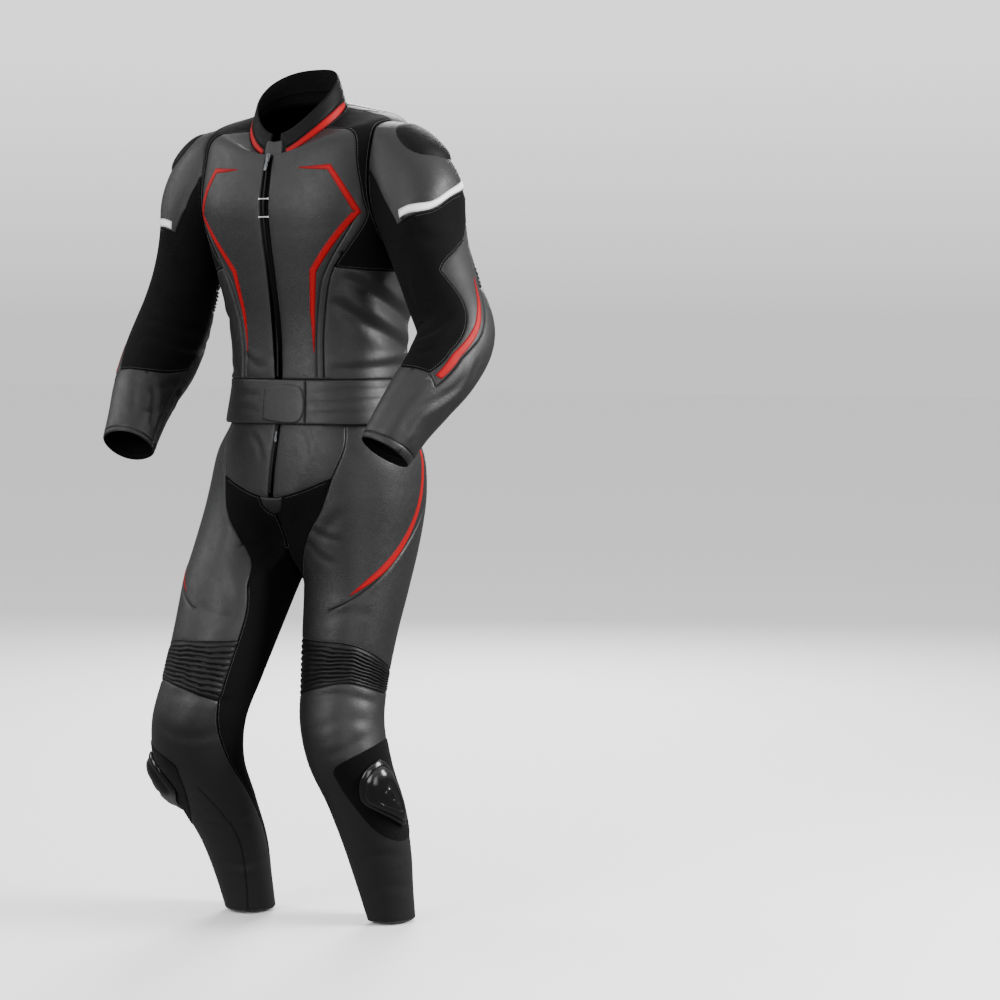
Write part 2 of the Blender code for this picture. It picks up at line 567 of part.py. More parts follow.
def jacket_body():
    """Front, yokes, sides, back and hem band."""
    seams = body_seams()
    zip_edge = trace(((ZIP_HALF, BAND), (ZIP_HALF, NECK)), TORSO_GRID)
    for side in ("left", "right"):
        turn = list if side == "left" else mirrored
        line = {name: turn(seam) for name, seam in seams.items()}
        neck = lambda a, b: turn(stretch_of(NECK_STOPS, a, b, NECK))
        hem = lambda a, b: turn(stretch_of(HEM_STOPS, a, b, BAND))
        chest = turn(ribbon(CHEST_STRIPE, 0.0029))
        back = turn(ribbon(BACK_STRIPE, 0.0029))
        panel(f"front_{side}", "torso",
              loop(turn(zip_edge), neck(3.5, 68), line["front_high"], line["front_low"], hem(3.5, 38)),
              trims=((f"chest_stripe_{side}", chest, REST, REST + TRIM, 0.0003, "red"),))
        panel(f"yoke_{side}", "torso",
              loop(line["front_high"], neck(68, 108), line["shoulder"], line["arm_front"], line["under"]),
              "stretch")
        panel(f"side_{side}", "torso",
              loop(line["front_low"], line["under"], line["arm_back"], line["shoulder"], neck(108, 122),
                   line["side"], line["back_low"], hem(38, 112)))
        panel(f"back_side_{side}", "torso",
              loop(line["side"], neck(122, 150), line["back_top"], line["back_high"]),
              trims=((f"back_stripe_{side}", back, REST, REST + TRIM, 0.0003, "red"),))
    far = {name: mirrored(seam) for name, seam in seams.items()}
    neck = stretch_of(NECK_STOPS, 150, 180, NECK)
    hem = stretch_of(HEM_STOPS, 112, 180, BAND)
    panel("back_upper", "torso",
          loop(seams["back_top"], neck, mirrored(neck)[::-1], far["back_top"], far["back_point"],
               seams["back_point"]))
    panel("back_centre", "torso",
          loop(seams["back_low"], seams["back_high"], seams["back_point"], far["back_point"],
               far["back_high"], far["back_low"], mirrored(hem), hem[::-1]),
          trims=(("lumbar_pad", LUMBAR_PAD, REST, REST + PAD, 0.004, "leather"),))
    round_stops = list(HEM_STOPS) + [360 - k for k in HEM_STOPS[-2::-1]]
    top = [(BAND_GAP, BAND)] + [(k, BAND) for k in round_stops if k > BAND_GAP]
    top += [(360 + ZIP_HALF, BAND), (380, BAND), (360 + BAND_GAP, BAND)]
    bottom = trace(((BAND_GAP, 0.0), (360 + BAND_GAP, 0.0)), TORSO_GRID)
    panel("hem_band", "torso", loop(top, bottom),
          trims=(("belt_tab", BELT_TAB, REST, REST + TAB, 0.0006, "leather"),))


def jacket_neck():
    """Collar, its closing tab, and the front zip's tape."""
    stops = [k for k in NECK_STOPS if k >= COLLAR_EDGE]
    stops += [360 - k for k in stops[-2::-1]]
    panel("collar", "collar", loop([(k, 0.0) for k in stops], [(k, 1.0) for k in stops]))
    tab = ((-13, 0.04), (-4, 0.02), (4, 0.02), (13, 0.04), (13, 0.62), (0, 0.66), (-13, 0.62))
    places, faces, _, _ = cut(tab, (8.0, 0.6))
    wall("collar_tab", "collar", places, faces, 0.0006, 0.0006 + TAB, (0.0, 0.0006))
    edge = trace(((ZIP_HALF, BAND), (ZIP_HALF, NECK)), TORSO_GRID)
    panel("front_zip", "torso", loop(edge, [(-u, v) for u, v in edge]), "stretch")


def sleeve_pieces(side):
    """Upper sleeve, stretch panel, outer panel, elbow accordion and forearm."""
    chart = f"sleeve_{side}"
    line = {name: trace(table, SLEEVE_GRID) for name, table in (
        ("cap_front", CAP_FRONT), ("cap_low", CAP_LOW), ("cap_back", CAP_BACK), ("outer_top", OUTER_TOP),
        ("outer_back", OUTER_BACK), ("outer_end", OUTER_END), ("low_a", OUTER_LOW_A),
        ("low_b", OUTER_LOW_B), ("low_c", OUTER_LOW_C), ("elbow_top", ELBOW_TOP),
        ("elbow_low", ELBOW_LOW), ("stretch_low", STRETCH_LOW),
        ("seam_a", ((-160, 0.0), (-160, 0.075))), ("seam_b", ((-160, 0.075), (-160, 0.125))),
        ("seam_c", ((-160, 0.125), (-160, 0.300))), ("seam_d", ((-160, 0.300), (-160, CUFF))))}
    for name in "abcd":
        line["far_" + name] = [(u + 360, v) for u, v in line["seam_" + name]]
    cuff = [(-160.0 + 20 * k, CUFF) for k in range(19)]
    panel(f"upper_sleeve_{side}", chart,
          loop(stretch_of(ARM_STOPS, -160, 74, 0.0), line["cap_front"], line["cap_low"], line["cap_back"],
               line["outer_back"], line["low_a"], line["elbow_top"], line["seam_a"]),
          trims=((f"shoulder_pad_{side}", SHOULDER_PAD, REST, REST + PAD, 0.003, "leather"),
                 (f"arm_stripe_{side}", ribbon(ARM_STRIPE, 0.00113), REST, REST + TRIM, 0.0003, "white")))
    panel(f"arm_stretch_{side}", chart,
          loop(line["far_a"], line["far_b"], line["far_c"], line["stretch_low"], line["outer_top"],
               line["cap_back"], line["cap_low"], line["cap_front"], stretch_of(ARM_STOPS, 74, 200, 0.0)),
          "stretch")
    panel(f"outer_sleeve_{side}", chart,
          loop(line["outer_top"], line["outer_end"], line["low_c"], line["low_b"], line["low_a"],
               line["outer_back"]),
          trims=((f"forearm_stripe_{side}", ribbon(FOREARM_STRIPE, 0.00113), REST, REST + TRIM, 0.0003,
                  "red"),))
    accordion(f"elbow_accordion_{side}", chart,
              loop(line["elbow_top"], line["low_b"], line["elbow_low"], line["seam_b"]),
              ELBOW_TOP, ELBOW_LOW, 5, 0.0016, range(-140, -30, 22))
    panel(f"forearm_{side}", chart,
          loop(line["elbow_low"], line["low_c"], line["outer_end"], line["stretch_low"], line["far_d"],
               cuff, line["seam_d"], line["seam_c"]))


def puck_points(turn):
    """Flat places inside the knee puck, and how high each stands."""
    outline = np.array(KNEE_PUCK, float) + (turn, 0)
    centre = np.array(PUCK_CENTRE, float) + (turn, 0)
    heights = {}
    for scale, height in PUCK_RINGS:
        ring = centre + (outline - centre) * scale if scale else [centre]
        for u, v in ring:
            heights[(round(float(u), 3), round(float(v), 5))] = height
    return heights


def shin_piece(side, line, hem):
    """Shin with its hook-and-loop patch and the knee puck fastened to it."""
    chart = f"leg_{side}"
    turn = KNEE_TURN[side]
    heights = puck_points(turn)
    outline = loop(line["knee_low"], line["shin_back"], hem, line["shin_in"])
    grid = CHARTS[chart][1]
    patch, puck = ([(u + turn, v) for u, v in edge] for edge in (KNEE_PATCH, KNEE_PUCK))
    rows = range(-28, -17)
    spots = [(grid[0] * (k + 0.5 * (row % 2)), row * 0.87 * grid[1]) for row in rows for k in range(-7, 8)]
    room = lambda p, edge: edge_gap(np.array([p]) / grid, [tuple(np.array(q) / grid) for q in edge])[0]
    clear = [p for p in spots if room(p, outline) > 0.45 and not inside(p, patch) and room(p, patch) > 0.4]
    places, faces, flat, flat_loops = cut(outline, grid, [patch, puck], clear + list(heights))
    wall(f"shin_{side}", chart, places, faces, -WALL, 0.0)
    over = [[face for face in faces if inside(np.mean(flat[list(face)], axis=0), edge)]
            for edge in flat_loops]
    wall(f"knee_patch_{side}", chart, places, over[0], REST, REST + TAB, (0.0, 0.0004), material="hook")
    rise = [heights.get((round(float(u), 3), round(float(v), 5)), 0.0) for u, v in places]
    base = 2 * REST + TAB
    wall(f"knee_slider_{side}", chart, places, over[1], base, base + 0.005, (0.0, 0.002), lift=rise,
         material="plastic")


def leg_pieces(side):
    """Hip front, thigh, seat, stretch panel, knee accordion and shin."""
    chart = f"leg_{side}"
    line = {name: trace(table, LEG_GRID) for name, table in (
        ("hip_side", HIP_SIDE), ("hip_low", HIP_LOW), ("thigh_front", THIGH_FRONT), ("yoke_edge", YOKE_EDGE),
        ("yoke_low", YOKE_LOW), ("thigh_back", THIGH_BACK), ("seat_low", SEAT_LOW), ("knee_top", KNEE_TOP),
        ("knee_low", KNEE_LOW), ("knee_out", KNEE_OUT), ("knee_in", KNEE_IN), ("knee_up", KNEE_UP),
        ("shin_back", SHIN_BACK), ("shin_in", SHIN_IN), ("gusset", GUSSET), ("gusset_top", GUSSET_TOP),
        ("fly", ((FRONT_CENTRE + FLY_HALF, WAIST), (FRONT_CENTRE + FLY_HALF, -0.650))),
        ("front_centre", ((-50, -0.680), (-50, CROTCH))), ("back_centre", ((230, -0.586), (230, CROTCH))),
        ("waist_front", ((FRONT_CENTRE + FLY_HALF, WAIST), (33, WAIST))),
        ("waist_side", ((33, WAIST), (122, WAIST))),
        ("crotch", ((230, CROTCH), (250, CROTCH), (270, CROTCH), (290, CROTCH), (310, CROTCH))),
        ("hem_shin", ((128, HEM), (-124, HEM))), ("hem_back", ((128, HEM), (236, HEM))))}
    far = lambda name: [(u + 360, v) for u, v in line[name]]
    corner = [line["gusset_top"][-1], line["fly"][-1]]
    panel(f"hip_front_{side}", chart,
          loop(line["waist_front"], line["hip_side"], line["hip_low"], line["gusset_top"], corner,
               line["fly"]))
    panel(f"thigh_{side}", chart,
          loop(line["waist_side"], line["yoke_edge"], line["thigh_back"], line["knee_up"], line["knee_top"],
               line["thigh_front"], line["hip_side"]),
          trims=((f"thigh_stripe_{side}", ribbon(THIGH_STRIPE, 0.0018), REST, REST + TRIM, 0.0003, "red"),))
    panel(f"seat_{side}", chart,
          loop(line["yoke_low"], line["back_centre"], line["seat_low"], line["thigh_back"]))
    panel(f"leg_stretch_{side}", chart,
          loop(far("hip_low"), far("gusset"), far("front_centre"), line["crotch"], line["seat_low"],
               line["knee_up"], line["knee_out"], line["shin_back"], line["hem_back"], far("shin_in"),
               far("knee_in"), far("thigh_front")), "stretch")
    accordion(f"knee_accordion_{side}", chart,
              loop(line["knee_top"], line["knee_out"], line["knee_low"], line["knee_in"]),
              KNEE_TOP, KNEE_LOW, 7, 0.0018, range(-30, 125, 22))
    shin_piece(side, line, line["hem_shin"])
    return line


def trouser_middle(line):
    """Pieces that cross the front and back centre: fly zip, gusset and the ribbed back yoke."""
    both = lambda name: (to_hips(line[name], "left"), to_hips(line[name], "right"))
    edge = to_hips(line["fly"], "left")
    panel("fly_zip", "hips", loop(edge, [(-u, v) for u, v in edge]), "stretch")
    down = to_hips(line["gusset"], "left")
    across = to_hips(line["gusset_top"], "left") + [edge[-1]]
    half = [p for p in across[::-1]] + down[1:]
    other = [(-u, v) for u, v in half[::-1]]
    panel("gusset", "hips", loop(half, other, [other[-1], half[0]]))
    sides, lows = both("yoke_edge"), both("yoke_low")
    top = trace(((sides[0][0][0], WAIST), (sides[1][0][0], WAIST)), CHARTS["hips"][1])
    outline = loop(top, sides[1], lows[1], lows[0], sides[0])
    accordion("back_yoke", "hips", outline, ((100, WAIST), (260, WAIST)), ((100, -0.586), (260, -0.586)),
              9, 0.0016, range(120, 242, 15))


def placed_block(name, at, ahead, up, size, material, shift):
    """Small block in front of a zip: width across, depth ahead, length up, moved by shift along both."""
    side = np.cross(ahead, up)
    bpy.ops.mesh.primitive_cube_add(size=1.0, location=(0, 0, 0))
    item = bpy.context.object
    mesh = item.data
    bpy.data.objects.remove(item)
    mesh.name = name
    for corner in mesh.vertices:
        x, y, z = corner.co
        spot = side * x * size[0] + ahead * (y * size[1] + shift[0]) + up * (z * size[2] + shift[1])
        corner.co = Vector(spot)
    item = keep(name, mesh, material)
    item.location = Vector(at)
    bevel = item.modifiers.new("rounded", "BEVEL")
    bevel.width = 0.0005
    bevel.segments = 1
    return item


def zip_hardware(chart, along, slider_size, pull_size, prefix):
    """Pull tab that hangs on a zip's tape, from a slider where there is one."""
    place = np.array([[0.0, along]])
    form = CHARTS[chart][0]
    at = form(place[:, 0], place[:, 1])[0]
    below = form(np.array([0.0]), np.array([along - 0.020]))[0]
    up = at - below
    up /= np.linalg.norm(up)
    ahead = np.cross(np.array([1.0, 0.0, 0.0]), up)
    ahead *= np.sign(-ahead[1])
    front = REST
    if slider_size:
        placed_block(f"{prefix}_slider", at, ahead, up, slider_size, "metal", (REST + slider_size[1] / 2, 0.0))
        front += slider_size[1] + REST
    hinge = at + ahead * (front + pull_size[1] / 2)
    placed_block(f"{prefix}_pull", hinge, ahead, up, pull_size, "metal", (0.0, 0.0008 - pull_size[2] / 2))


def main():
    for item in list(bpy.data.objects):
        bpy.data.objects.remove(item)
    suit = bpy.data.collections.new("race_suit")
    bpy.context.scene.collection.children.link(suit)
    jacket_body()
    jacket_neck()
    for side in ("left", "right"):
        sleeve_pieces(side)
        line = leg_pieces(side)
    trouser_middle(line)
    zip_hardware("torso", SLIDER_AT, SLIDER, PULL, "zip")
    zip_hardware("hips", FLY_PULL_AT, None, FLY_PULL, "fly")


main()
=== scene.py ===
"""Two-piece leather motorcycle race suit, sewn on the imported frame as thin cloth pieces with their
seams, stitches, ribs, creases, inlays, pads, zips and knee sliders. Metres, +Z up, the wearer faces -Y.
"""

import math

import bpy
import bmesh
import numpy as np
from bpy.props import FloatProperty, FloatVectorProperty, IntProperty, PointerProperty
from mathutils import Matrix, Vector, noise
from mathutils.geometry import delaunay_2d_cdt


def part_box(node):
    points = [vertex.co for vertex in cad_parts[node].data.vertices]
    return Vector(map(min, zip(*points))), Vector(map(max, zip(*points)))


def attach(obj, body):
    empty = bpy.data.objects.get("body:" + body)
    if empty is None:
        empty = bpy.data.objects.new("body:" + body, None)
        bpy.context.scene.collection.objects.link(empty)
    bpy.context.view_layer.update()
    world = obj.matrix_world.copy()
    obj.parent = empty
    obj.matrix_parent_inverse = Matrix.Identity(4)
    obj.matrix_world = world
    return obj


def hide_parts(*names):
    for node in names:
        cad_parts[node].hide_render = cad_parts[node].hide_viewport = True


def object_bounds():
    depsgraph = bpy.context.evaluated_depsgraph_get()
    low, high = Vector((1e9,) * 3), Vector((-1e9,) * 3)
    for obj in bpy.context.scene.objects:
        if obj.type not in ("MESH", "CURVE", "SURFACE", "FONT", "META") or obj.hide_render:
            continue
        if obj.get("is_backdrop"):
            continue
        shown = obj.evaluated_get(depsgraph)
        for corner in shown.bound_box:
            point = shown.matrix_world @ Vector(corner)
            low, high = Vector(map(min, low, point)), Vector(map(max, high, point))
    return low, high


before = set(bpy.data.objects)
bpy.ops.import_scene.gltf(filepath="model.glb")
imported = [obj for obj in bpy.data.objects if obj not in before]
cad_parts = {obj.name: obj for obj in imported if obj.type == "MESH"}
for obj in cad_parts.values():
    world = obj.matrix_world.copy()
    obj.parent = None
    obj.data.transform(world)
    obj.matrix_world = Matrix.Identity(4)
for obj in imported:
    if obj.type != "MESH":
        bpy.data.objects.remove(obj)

bl_info = {
    "name": "Motorcycle race suit",
    "version": (1, 0, 0),
    "blender": (4, 5, 0),
    "location": "View3D > Sidebar > Race suit",
    "description": "Builds the cloth pieces, trims and hardware of a leather race suit on its frame",
    "category": "Object",
}

CAD_LOW, CAD_HIGH = (tuple(corner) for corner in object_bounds())
SEAM = 0.0003           # between panels at a seam
REST = 0.0004           # under what lies on a panel

# Lengths along the forms
NECK = 0.620            # torso, hem to collar seam
BAND = 0.075            # height of the jacket's hem band
CUFF = 0.535            # sleeve, armhole to cuff
CAP = 0.080             # stretch of sleeve that turns from armhole to tube
UNDERARM = 0.155        # how much lower the sleeve starts under the arm
WAIST = -0.490          # top of the trousers, under the jacket
CROTCH = -0.735
HEM = -1.395
FRONT_CENTRE, BACK_CENTRE = -50.0, 230.0    # round the leg form
CROTCH_SPAN = 310.0 - BACK_CENTRE
LEG_START, LEG_FULL = -0.560, -0.810        # heights between which hips turn into legs
ZIP_HALF = 3.5          # degrees of the torso
FLY_HALF = 3.0          # degrees of the leg form
COLLAR_EDGE = 8.0

TORSO_ROWS = (
    # along, height, half_width, front, back, neck_drop, fullness
    (0.000, -0.525, 0.168, 0.140, 0.122, 0.000, 2.3),
    (0.075, -0.450, 0.155, 0.132, 0.112, 0.000, 2.3),
    (0.165, -0.360, 0.158, 0.135, 0.112, 0.000, 2.3),
    (0.245, -0.280, 0.172, 0.150, 0.113, 0.000, 2.4),
    (0.325, -0.200, 0.186, 0.165, 0.110, 0.008, 2.5),
    (0.395, -0.130, 0.194, 0.170, 0.102, 0.030, 2.5),
    (0.455, -0.063, 0.194, 0.163, 0.088, 0.054, 2.4),
    (0.495, -0.015, 0.189, 0.155, 0.070, 0.070, 2.3),
    (0.530, 0.007, 0.167, 0.150, 0.048, 0.084, 2.2),
    (0.565, 0.014, 0.134, 0.146, 0.028, 0.093, 2.1),
    (0.600, 0.018, 0.104, 0.144, 0.012, 0.099, 2.0),
    (0.620, 0.020, 0.085, 0.142, 0.003, 0.102, 2.0),
)
HIP_ROWS = (
    # height, half_width, front, back, sway, fullness
    (-0.450, 0.150, 0.126, 0.106, 0.000, 2.3),
    (-0.525, 0.1565, 0.133, 0.115, 0.000, 2.3),
    (-0.570, 0.182, 0.139, 0.132, -0.004, 2.3),
    (-0.640, 0.194, 0.140, 0.148, -0.012, 2.3),
    (-0.700, 0.197, 0.136, 0.150, -0.017, 2.3),
    (-0.760, 0.197, 0.130, 0.142, -0.018, 2.3),
    (-0.850, 0.197, 0.128, 0.140, -0.018, 2.3),
    (-1.395, 0.197, 0.128, 0.140, -0.018, 2.3),
)
LEG_ROWS = {
    "left": (
        # height, centre_x, centre_y, half_width, front, back
        (-0.450, 0.085, 0.000, 0.090, 0.124, 0.110),
        (-0.640, 0.092, 0.004, 0.096, 0.120, 0.128),
        (-0.740, 0.092, 0.000, 0.090, 0.106, 0.114),
        (-0.800, 0.091, -0.008, 0.086, 0.095, 0.100),
        (-0.880, 0.088, -0.024, 0.079, 0.086, 0.086),
        (-0.960, 0.086, -0.038, 0.074, 0.080, 0.076),
        (-1.030, 0.092, -0.054, 0.072, 0.078, 0.067),
        (-1.100, 0.104, -0.052, 0.071, 0.072, 0.068),
        (-1.180, 0.112, -0.016, 0.065, 0.063, 0.068),
        (-1.270, 0.110, 0.026, 0.056, 0.055, 0.060),
        (-1.340, 0.105, 0.054, 0.049, 0.048, 0.050),
        (-1.395, 0.102, 0.074, 0.044, 0.045, 0.045),
    ),
    "right": (
        (-0.450, 0.085, 0.000, 0.090, 0.124, 0.110),
        (-0.640, 0.092, -0.016, 0.104, 0.125, 0.130),
        (-0.740, 0.092, -0.056, 0.104, 0.112, 0.120),
        (-0.800, 0.094, -0.086, 0.099, 0.100, 0.106),
        (-0.880, 0.098, -0.122, 0.090, 0.091, 0.093),
        (-0.960, 0.108, -0.152, 0.084, 0.085, 0.082),
        (-1.030, 0.124, -0.165, 0.080, 0.083, 0.070),
        (-1.100, 0.142, -0.145, 0.077, 0.075, 0.070),
        (-1.180, 0.158, -0.082, 0.068, 0.064, 0.070),
        (-1.270, 0.163, -0.020, 0.056, 0.055, 0.060),
        (-1.340, 0.162, 0.006, 0.048, 0.047, 0.050),
        (-1.395, 0.160, 0.022, 0.043, 0.044, 0.045),
    ),
}
SLEEVE_ROWS = {
    "left": (
        # along, centre_x, centre_y, centre_z, half_side, half_front
        (0.000, 0.198, -0.055, -0.060, 0.091, 0.087),
        (0.060, 0.226, -0.061, -0.133, 0.082, 0.083),
        (0.140, 0.262, -0.076, -0.225, 0.064, 0.070),
        (0.225, 0.303, -0.092, -0.305, 0.060, 0.064),
        (0.300, 0.338, -0.108, -0.375, 0.060, 0.064),
        (0.360, 0.336, -0.145, -0.425, 0.057, 0.062),
        (0.420, 0.322, -0.185, -0.470, 0.052, 0.055),
        (0.480, 0.306, -0.220, -0.515, 0.046, 0.049),
        (0.535, 0.292, -0.248, -0.560, 0.043, 0.045),
    ),
    "right": (
        (0.000, 0.194, -0.050, -0.060, 0.089, 0.085),
        (0.060, 0.216, -0.046, -0.133, 0.074, 0.078),
        (0.140, 0.240, -0.048, -0.225, 0.057, 0.065),
        (0.225, 0.252, -0.064, -0.305, 0.057, 0.063),
        (0.295, 0.259, -0.088, -0.370, 0.060, 0.067),
        (0.350, 0.253, -0.127, -0.418, 0.060, 0.066),
        (0.405, 0.244, -0.176, -0.466, 0.053, 0.057),
        (0.460, 0.235, -0.214, -0.514, 0.046, 0.049),
        (0.535, 0.226, -0.250, -0.562, 0.042, 0.044),
    ),
}

# Seams of the jacket's body, left half: (round, along)
BODY_SEAMS = {
    "front_low": ((38, 0.075), (38, 0.152), (42, 0.228), (46, 0.262)),
    "front_high": ((46, 0.262), (63, 0.345), (62, 0.390), (61, 0.460), (66, 0.540), (68, 0.620)),
    "under": ((46, 0.262), (70, 0.257), (92, 0.260), (95, 0.306)),
    "shoulder": ((108, 0.620), (101, 0.580), (90.2, 0.523)),
    "side": ((112, 0.165), (114, 0.224), (116, 0.300), (116, 0.360), (113, 0.420), (109, 0.500),
             (111, 0.560), (122, 0.620)),
    "back_low": ((112, 0.075), (112, 0.165)),
    "back_high": ((112, 0.165), (119, 0.240), (122.5, 0.300), (127, 0.322), (161, 0.402)),
    "back_top": ((161, 0.402), (166, 0.445), (166, 0.500), (160, 0.555), (150, 0.620)),
    "back_point": ((161, 0.402), (163, 0.362), (169, 0.322), (180, 0.310)),
}
BAND_GAP = 24.0         # where the hem band closes, degrees round the torso

# Sleeve seams: (round, along), 0 outer, 90 front, 180 inner, -90 back
SLEEVE_SEAMS = {
    "cap_front": ((74, 0.0), (88, 0.028), (90, 0.058)),
    "cap_low": ((90, 0.058), (76, 0.070), (40, 0.103), (8, 0.099), (-22, 0.080), (-56, 0.038)),
    "cap_back": ((-56, 0.038), (-56, 0.062)),
    "outer_top": ((-56, 0.062), (-20, 0.148), (14, 0.180), (44, 0.191), (52, 0.196), (49, 0.208),
                  (41, 0.238), (37, 0.276), (46, 0.316), (58, 0.360), (70, 0.392)),
    "outer_back": ((-56, 0.062), (-62, 0.112)),
    "outer_end": ((70, 0.392), (47, 0.412)),
    "low_a": ((-62, 0.112), (-24, 0.190)),
    "low_b": ((-24, 0.190), (-14, 0.245)),
    "low_c": ((-14, 0.245), (8, 0.303), (28, 0.337), (39, 0.372), (47, 0.412)),
    "elbow_top": ((-160, 0.075), (-120, 0.105), (-70, 0.156), (-24, 0.190)),
    "elbow_low": ((-160, 0.125), (-110, 0.165), (-68, 0.200), (-36, 0.232), (-14, 0.245)),
    "stretch_low": ((200, 0.300), (164, 0.344), (124, 0.374), (94, 0.386), (70, 0.392)),
    "seam_a": ((-160, 0.0), (-160, 0.075)),
    "seam_b": ((-160, 0.075), (-160, 0.125)),
    "seam_c": ((-160, 0.125), (-160, 0.300)),
    "seam_d": ((-160, 0.300), (-160, CUFF)),
}

# Leg seams: (round, height), 0 front, 90 outer, 180 back, 270 inner
LEG_SEAMS = {
    "hip_side": ((33, -0.490), (30, -0.530), (26, -0.565), (14, -0.615)),
    "hip_low": ((14, -0.615), (-16, -0.638), (-36, -0.648)),
    "thigh_front": ((14, -0.615), (2, -0.672), (-16, -0.718), (-34, -0.768), (-49, -0.835),
                    (-51, -0.890)),
    "yoke_edge": ((122, -0.490), (130, -0.508), (150, -0.535), (174, -0.560), (190, -0.580)),
    "yoke_low": ((190, -0.580), (210, -0.586), (230, -0.586)),
    "thigh_back": ((190, -0.580), (182, -0.650), (164, -0.755), (139, -0.908)),
    "seat_low": ((230, -0.735), (231, -0.768), (228, -0.805), (212, -0.862), (182, -0.898),
                 (139, -0.908)),
    "knee_top": ((-51, -0.890), (0, -0.892), (40, -0.898), (100, -0.935), (132, -0.950)),
    "knee_low": ((-51, -0.990), (0, -0.968), (40, -0.960), (100, -0.982), (132, -0.985)),
    "knee_out": ((132, -0.950), (132, -0.985)),
    "knee_in": ((-51, -0.890), (-51, -0.990)),
    "knee_up": ((139, -0.908), (132, -0.950)),
    "shin_back": ((132, -0.985), (141, -1.040), (143, -1.120), (141, -1.220), (132, -1.300),
                  (128, -1.395)),
    "shin_in": ((-51, -0.990), (-60, -1.040), (-78, -1.100), (-98, -1.160), (-116, -1.240),
                (-124, -1.395)),
    "gusset": ((-36, -0.648), (-38, -0.664), (-44, -0.676), (-50, -0.680)),
    "gusset_top": ((-36, -0.648), (-46, -0.650)),
    "fly": ((FRONT_CENTRE + FLY_HALF, WAIST), (FRONT_CENTRE + FLY_HALF, -0.650)),
    "front_centre": ((FRONT_CENTRE, -0.680), (FRONT_CENTRE, CROTCH)),
    "back_centre": ((BACK_CENTRE, -0.586), (BACK_CENTRE, CROTCH)),
}

# What lies on the panels: centre lines with half widths, or closed outlines
CHEST_STRIPE = ((28, 0.468, 0.001), (47, 0.458, 0.004), (59, 0.365, 0.005), (33, 0.256, 0.005),
                (31, 0.188, 0.004), (31, 0.120, 0.001))
BACK_STRIPE = ((134, 0.578, 0.001), (154, 0.548, 0.004), (161, 0.500, 0.0045), (161, 0.448, 0.0045),
               (155, 0.402, 0.005), (122.5, 0.325, 0.005), (119.2, 0.296, 0.0045),
               (115.8, 0.215, 0.0012))
ARM_STRIPE = ((82, 0.057, 0.0055), (70, 0.067, 0.0055), (40, 0.095, 0.0055), (8, 0.091, 0.0055),
              (-22, 0.0715, 0.0055), (-43, 0.0435, 0.0045))
FOREARM_STRIPE = ((-8, 0.228, 0.0010), (4, 0.262, 0.0032), (19, 0.294, 0.0052), (36, 0.328, 0.0066),
                  (47, 0.362, 0.0075), (54, 0.395, 0.006))
THIGH_STRIPE = ((120, -0.527, 0.0040), (112, -0.560, 0.0048), (108, -0.600, 0.0052),
                (104, -0.645, 0.0056), (96, -0.690, 0.0060), (82, -0.730, 0.0066),
                (64, -0.764, 0.0066), (46, -0.789, 0.0050), (28, -0.812, 0.001))
SHOULDER_PAD = ((-42, 0.016), (-10, 0.012), (26, 0.016), (38, 0.028), (30, 0.044), (0, 0.054),
                (-30, 0.046), (-44, 0.032))
LUMBAR_PAD = ((126, 0.094), (180, 0.093), (234, 0.094), (235, 0.128), (229, 0.160), (213, 0.196),
              (202, 0.206), (180, 0.208), (158, 0.206), (147, 0.196), (131, 0.160), (125, 0.128))
BELT_TAB = ((351, 0.006), (380, 0.006), (380, 0.062), (351, 0.062), (348, 0.050), (348, 0.018))
KNEE_PATCH = ((14, -1.102), (48, -1.078), (90, -1.062), (122, -1.062), (134, -1.085), (137, -1.140),
              (135, -1.200), (125, -1.230), (98, -1.241), (66, -1.234), (38, -1.210), (19, -1.165),
              (12, -1.128))
KNEE_PUCK = ((34, -1.150), (43, -1.120), (59, -1.099), (79, -1.089), (95, -1.103), (103, -1.133),
             (105, -1.172), (102, -1.203), (91, -1.211), (69, -1.194), (47, -1.175), (36, -1.163))
PUCK_CENTRE = (72, -1.148)
KNEE_TURN = {"left": 0, "right": -15}    # degrees that each leg's patch and puck sit further round

# Knee slider, from its rim to its middle: scale of the outline and height above the patch
PUCK_PROFILE = ((0.985, 0.0002), (1.000, 0.0014), (1.000, 0.0034), (0.985, 0.0050), (0.960, 0.0060),
                (0.900, 0.0078), (0.860, 0.0084), (0.835, 0.0082), (0.820, 0.0092), (0.800, 0.0112),
                (0.740, 0.0142), (0.660, 0.0166), (0.560, 0.0182), (0.500, 0.0188), (0.485, 0.0184),
                (0.470, 0.0176), (0.400, 0.0180), (0.240, 0.0184), (0.225, 0.0192), (0.200, 0.0198),
                (0.120, 0.0202), (0.105, 0.0192), (0.050, 0.0190), (0.000, 0.0190))

# Rolled edges: how deep they turn down, over what width, and how proud the leather stands inside
SEWN = (0.0011, 0.0016, 0.0006)
GATHERED = (0.0013, 0.0018, 0.0)
TURNED = (0.0009, 0.0012, 0.0002)
INLAID = (0.0006, 0.0010, 0.0001)
GROOVE_DEEP, GROOVE_SWELL = 0.0014, 0.0004      # a seam line inside a piece, and the leather beside it
WALL = 0.0018           # leather with its lining
PAD_CROWN = 0.0052      # how far a padded panel swells
PATCH = 0.0020          # knee patch under its puck
LAID = {"lift": 0.0003, "thick": 0.0010, "edge_roll": INLAID, "spacing": 0.0045}
PADDED = {"lift": REST, "thick": 0.0006, "crown": PAD_CROWN, "lining": "cowhide"}

# Zips
SLIDER_AT = 0.500
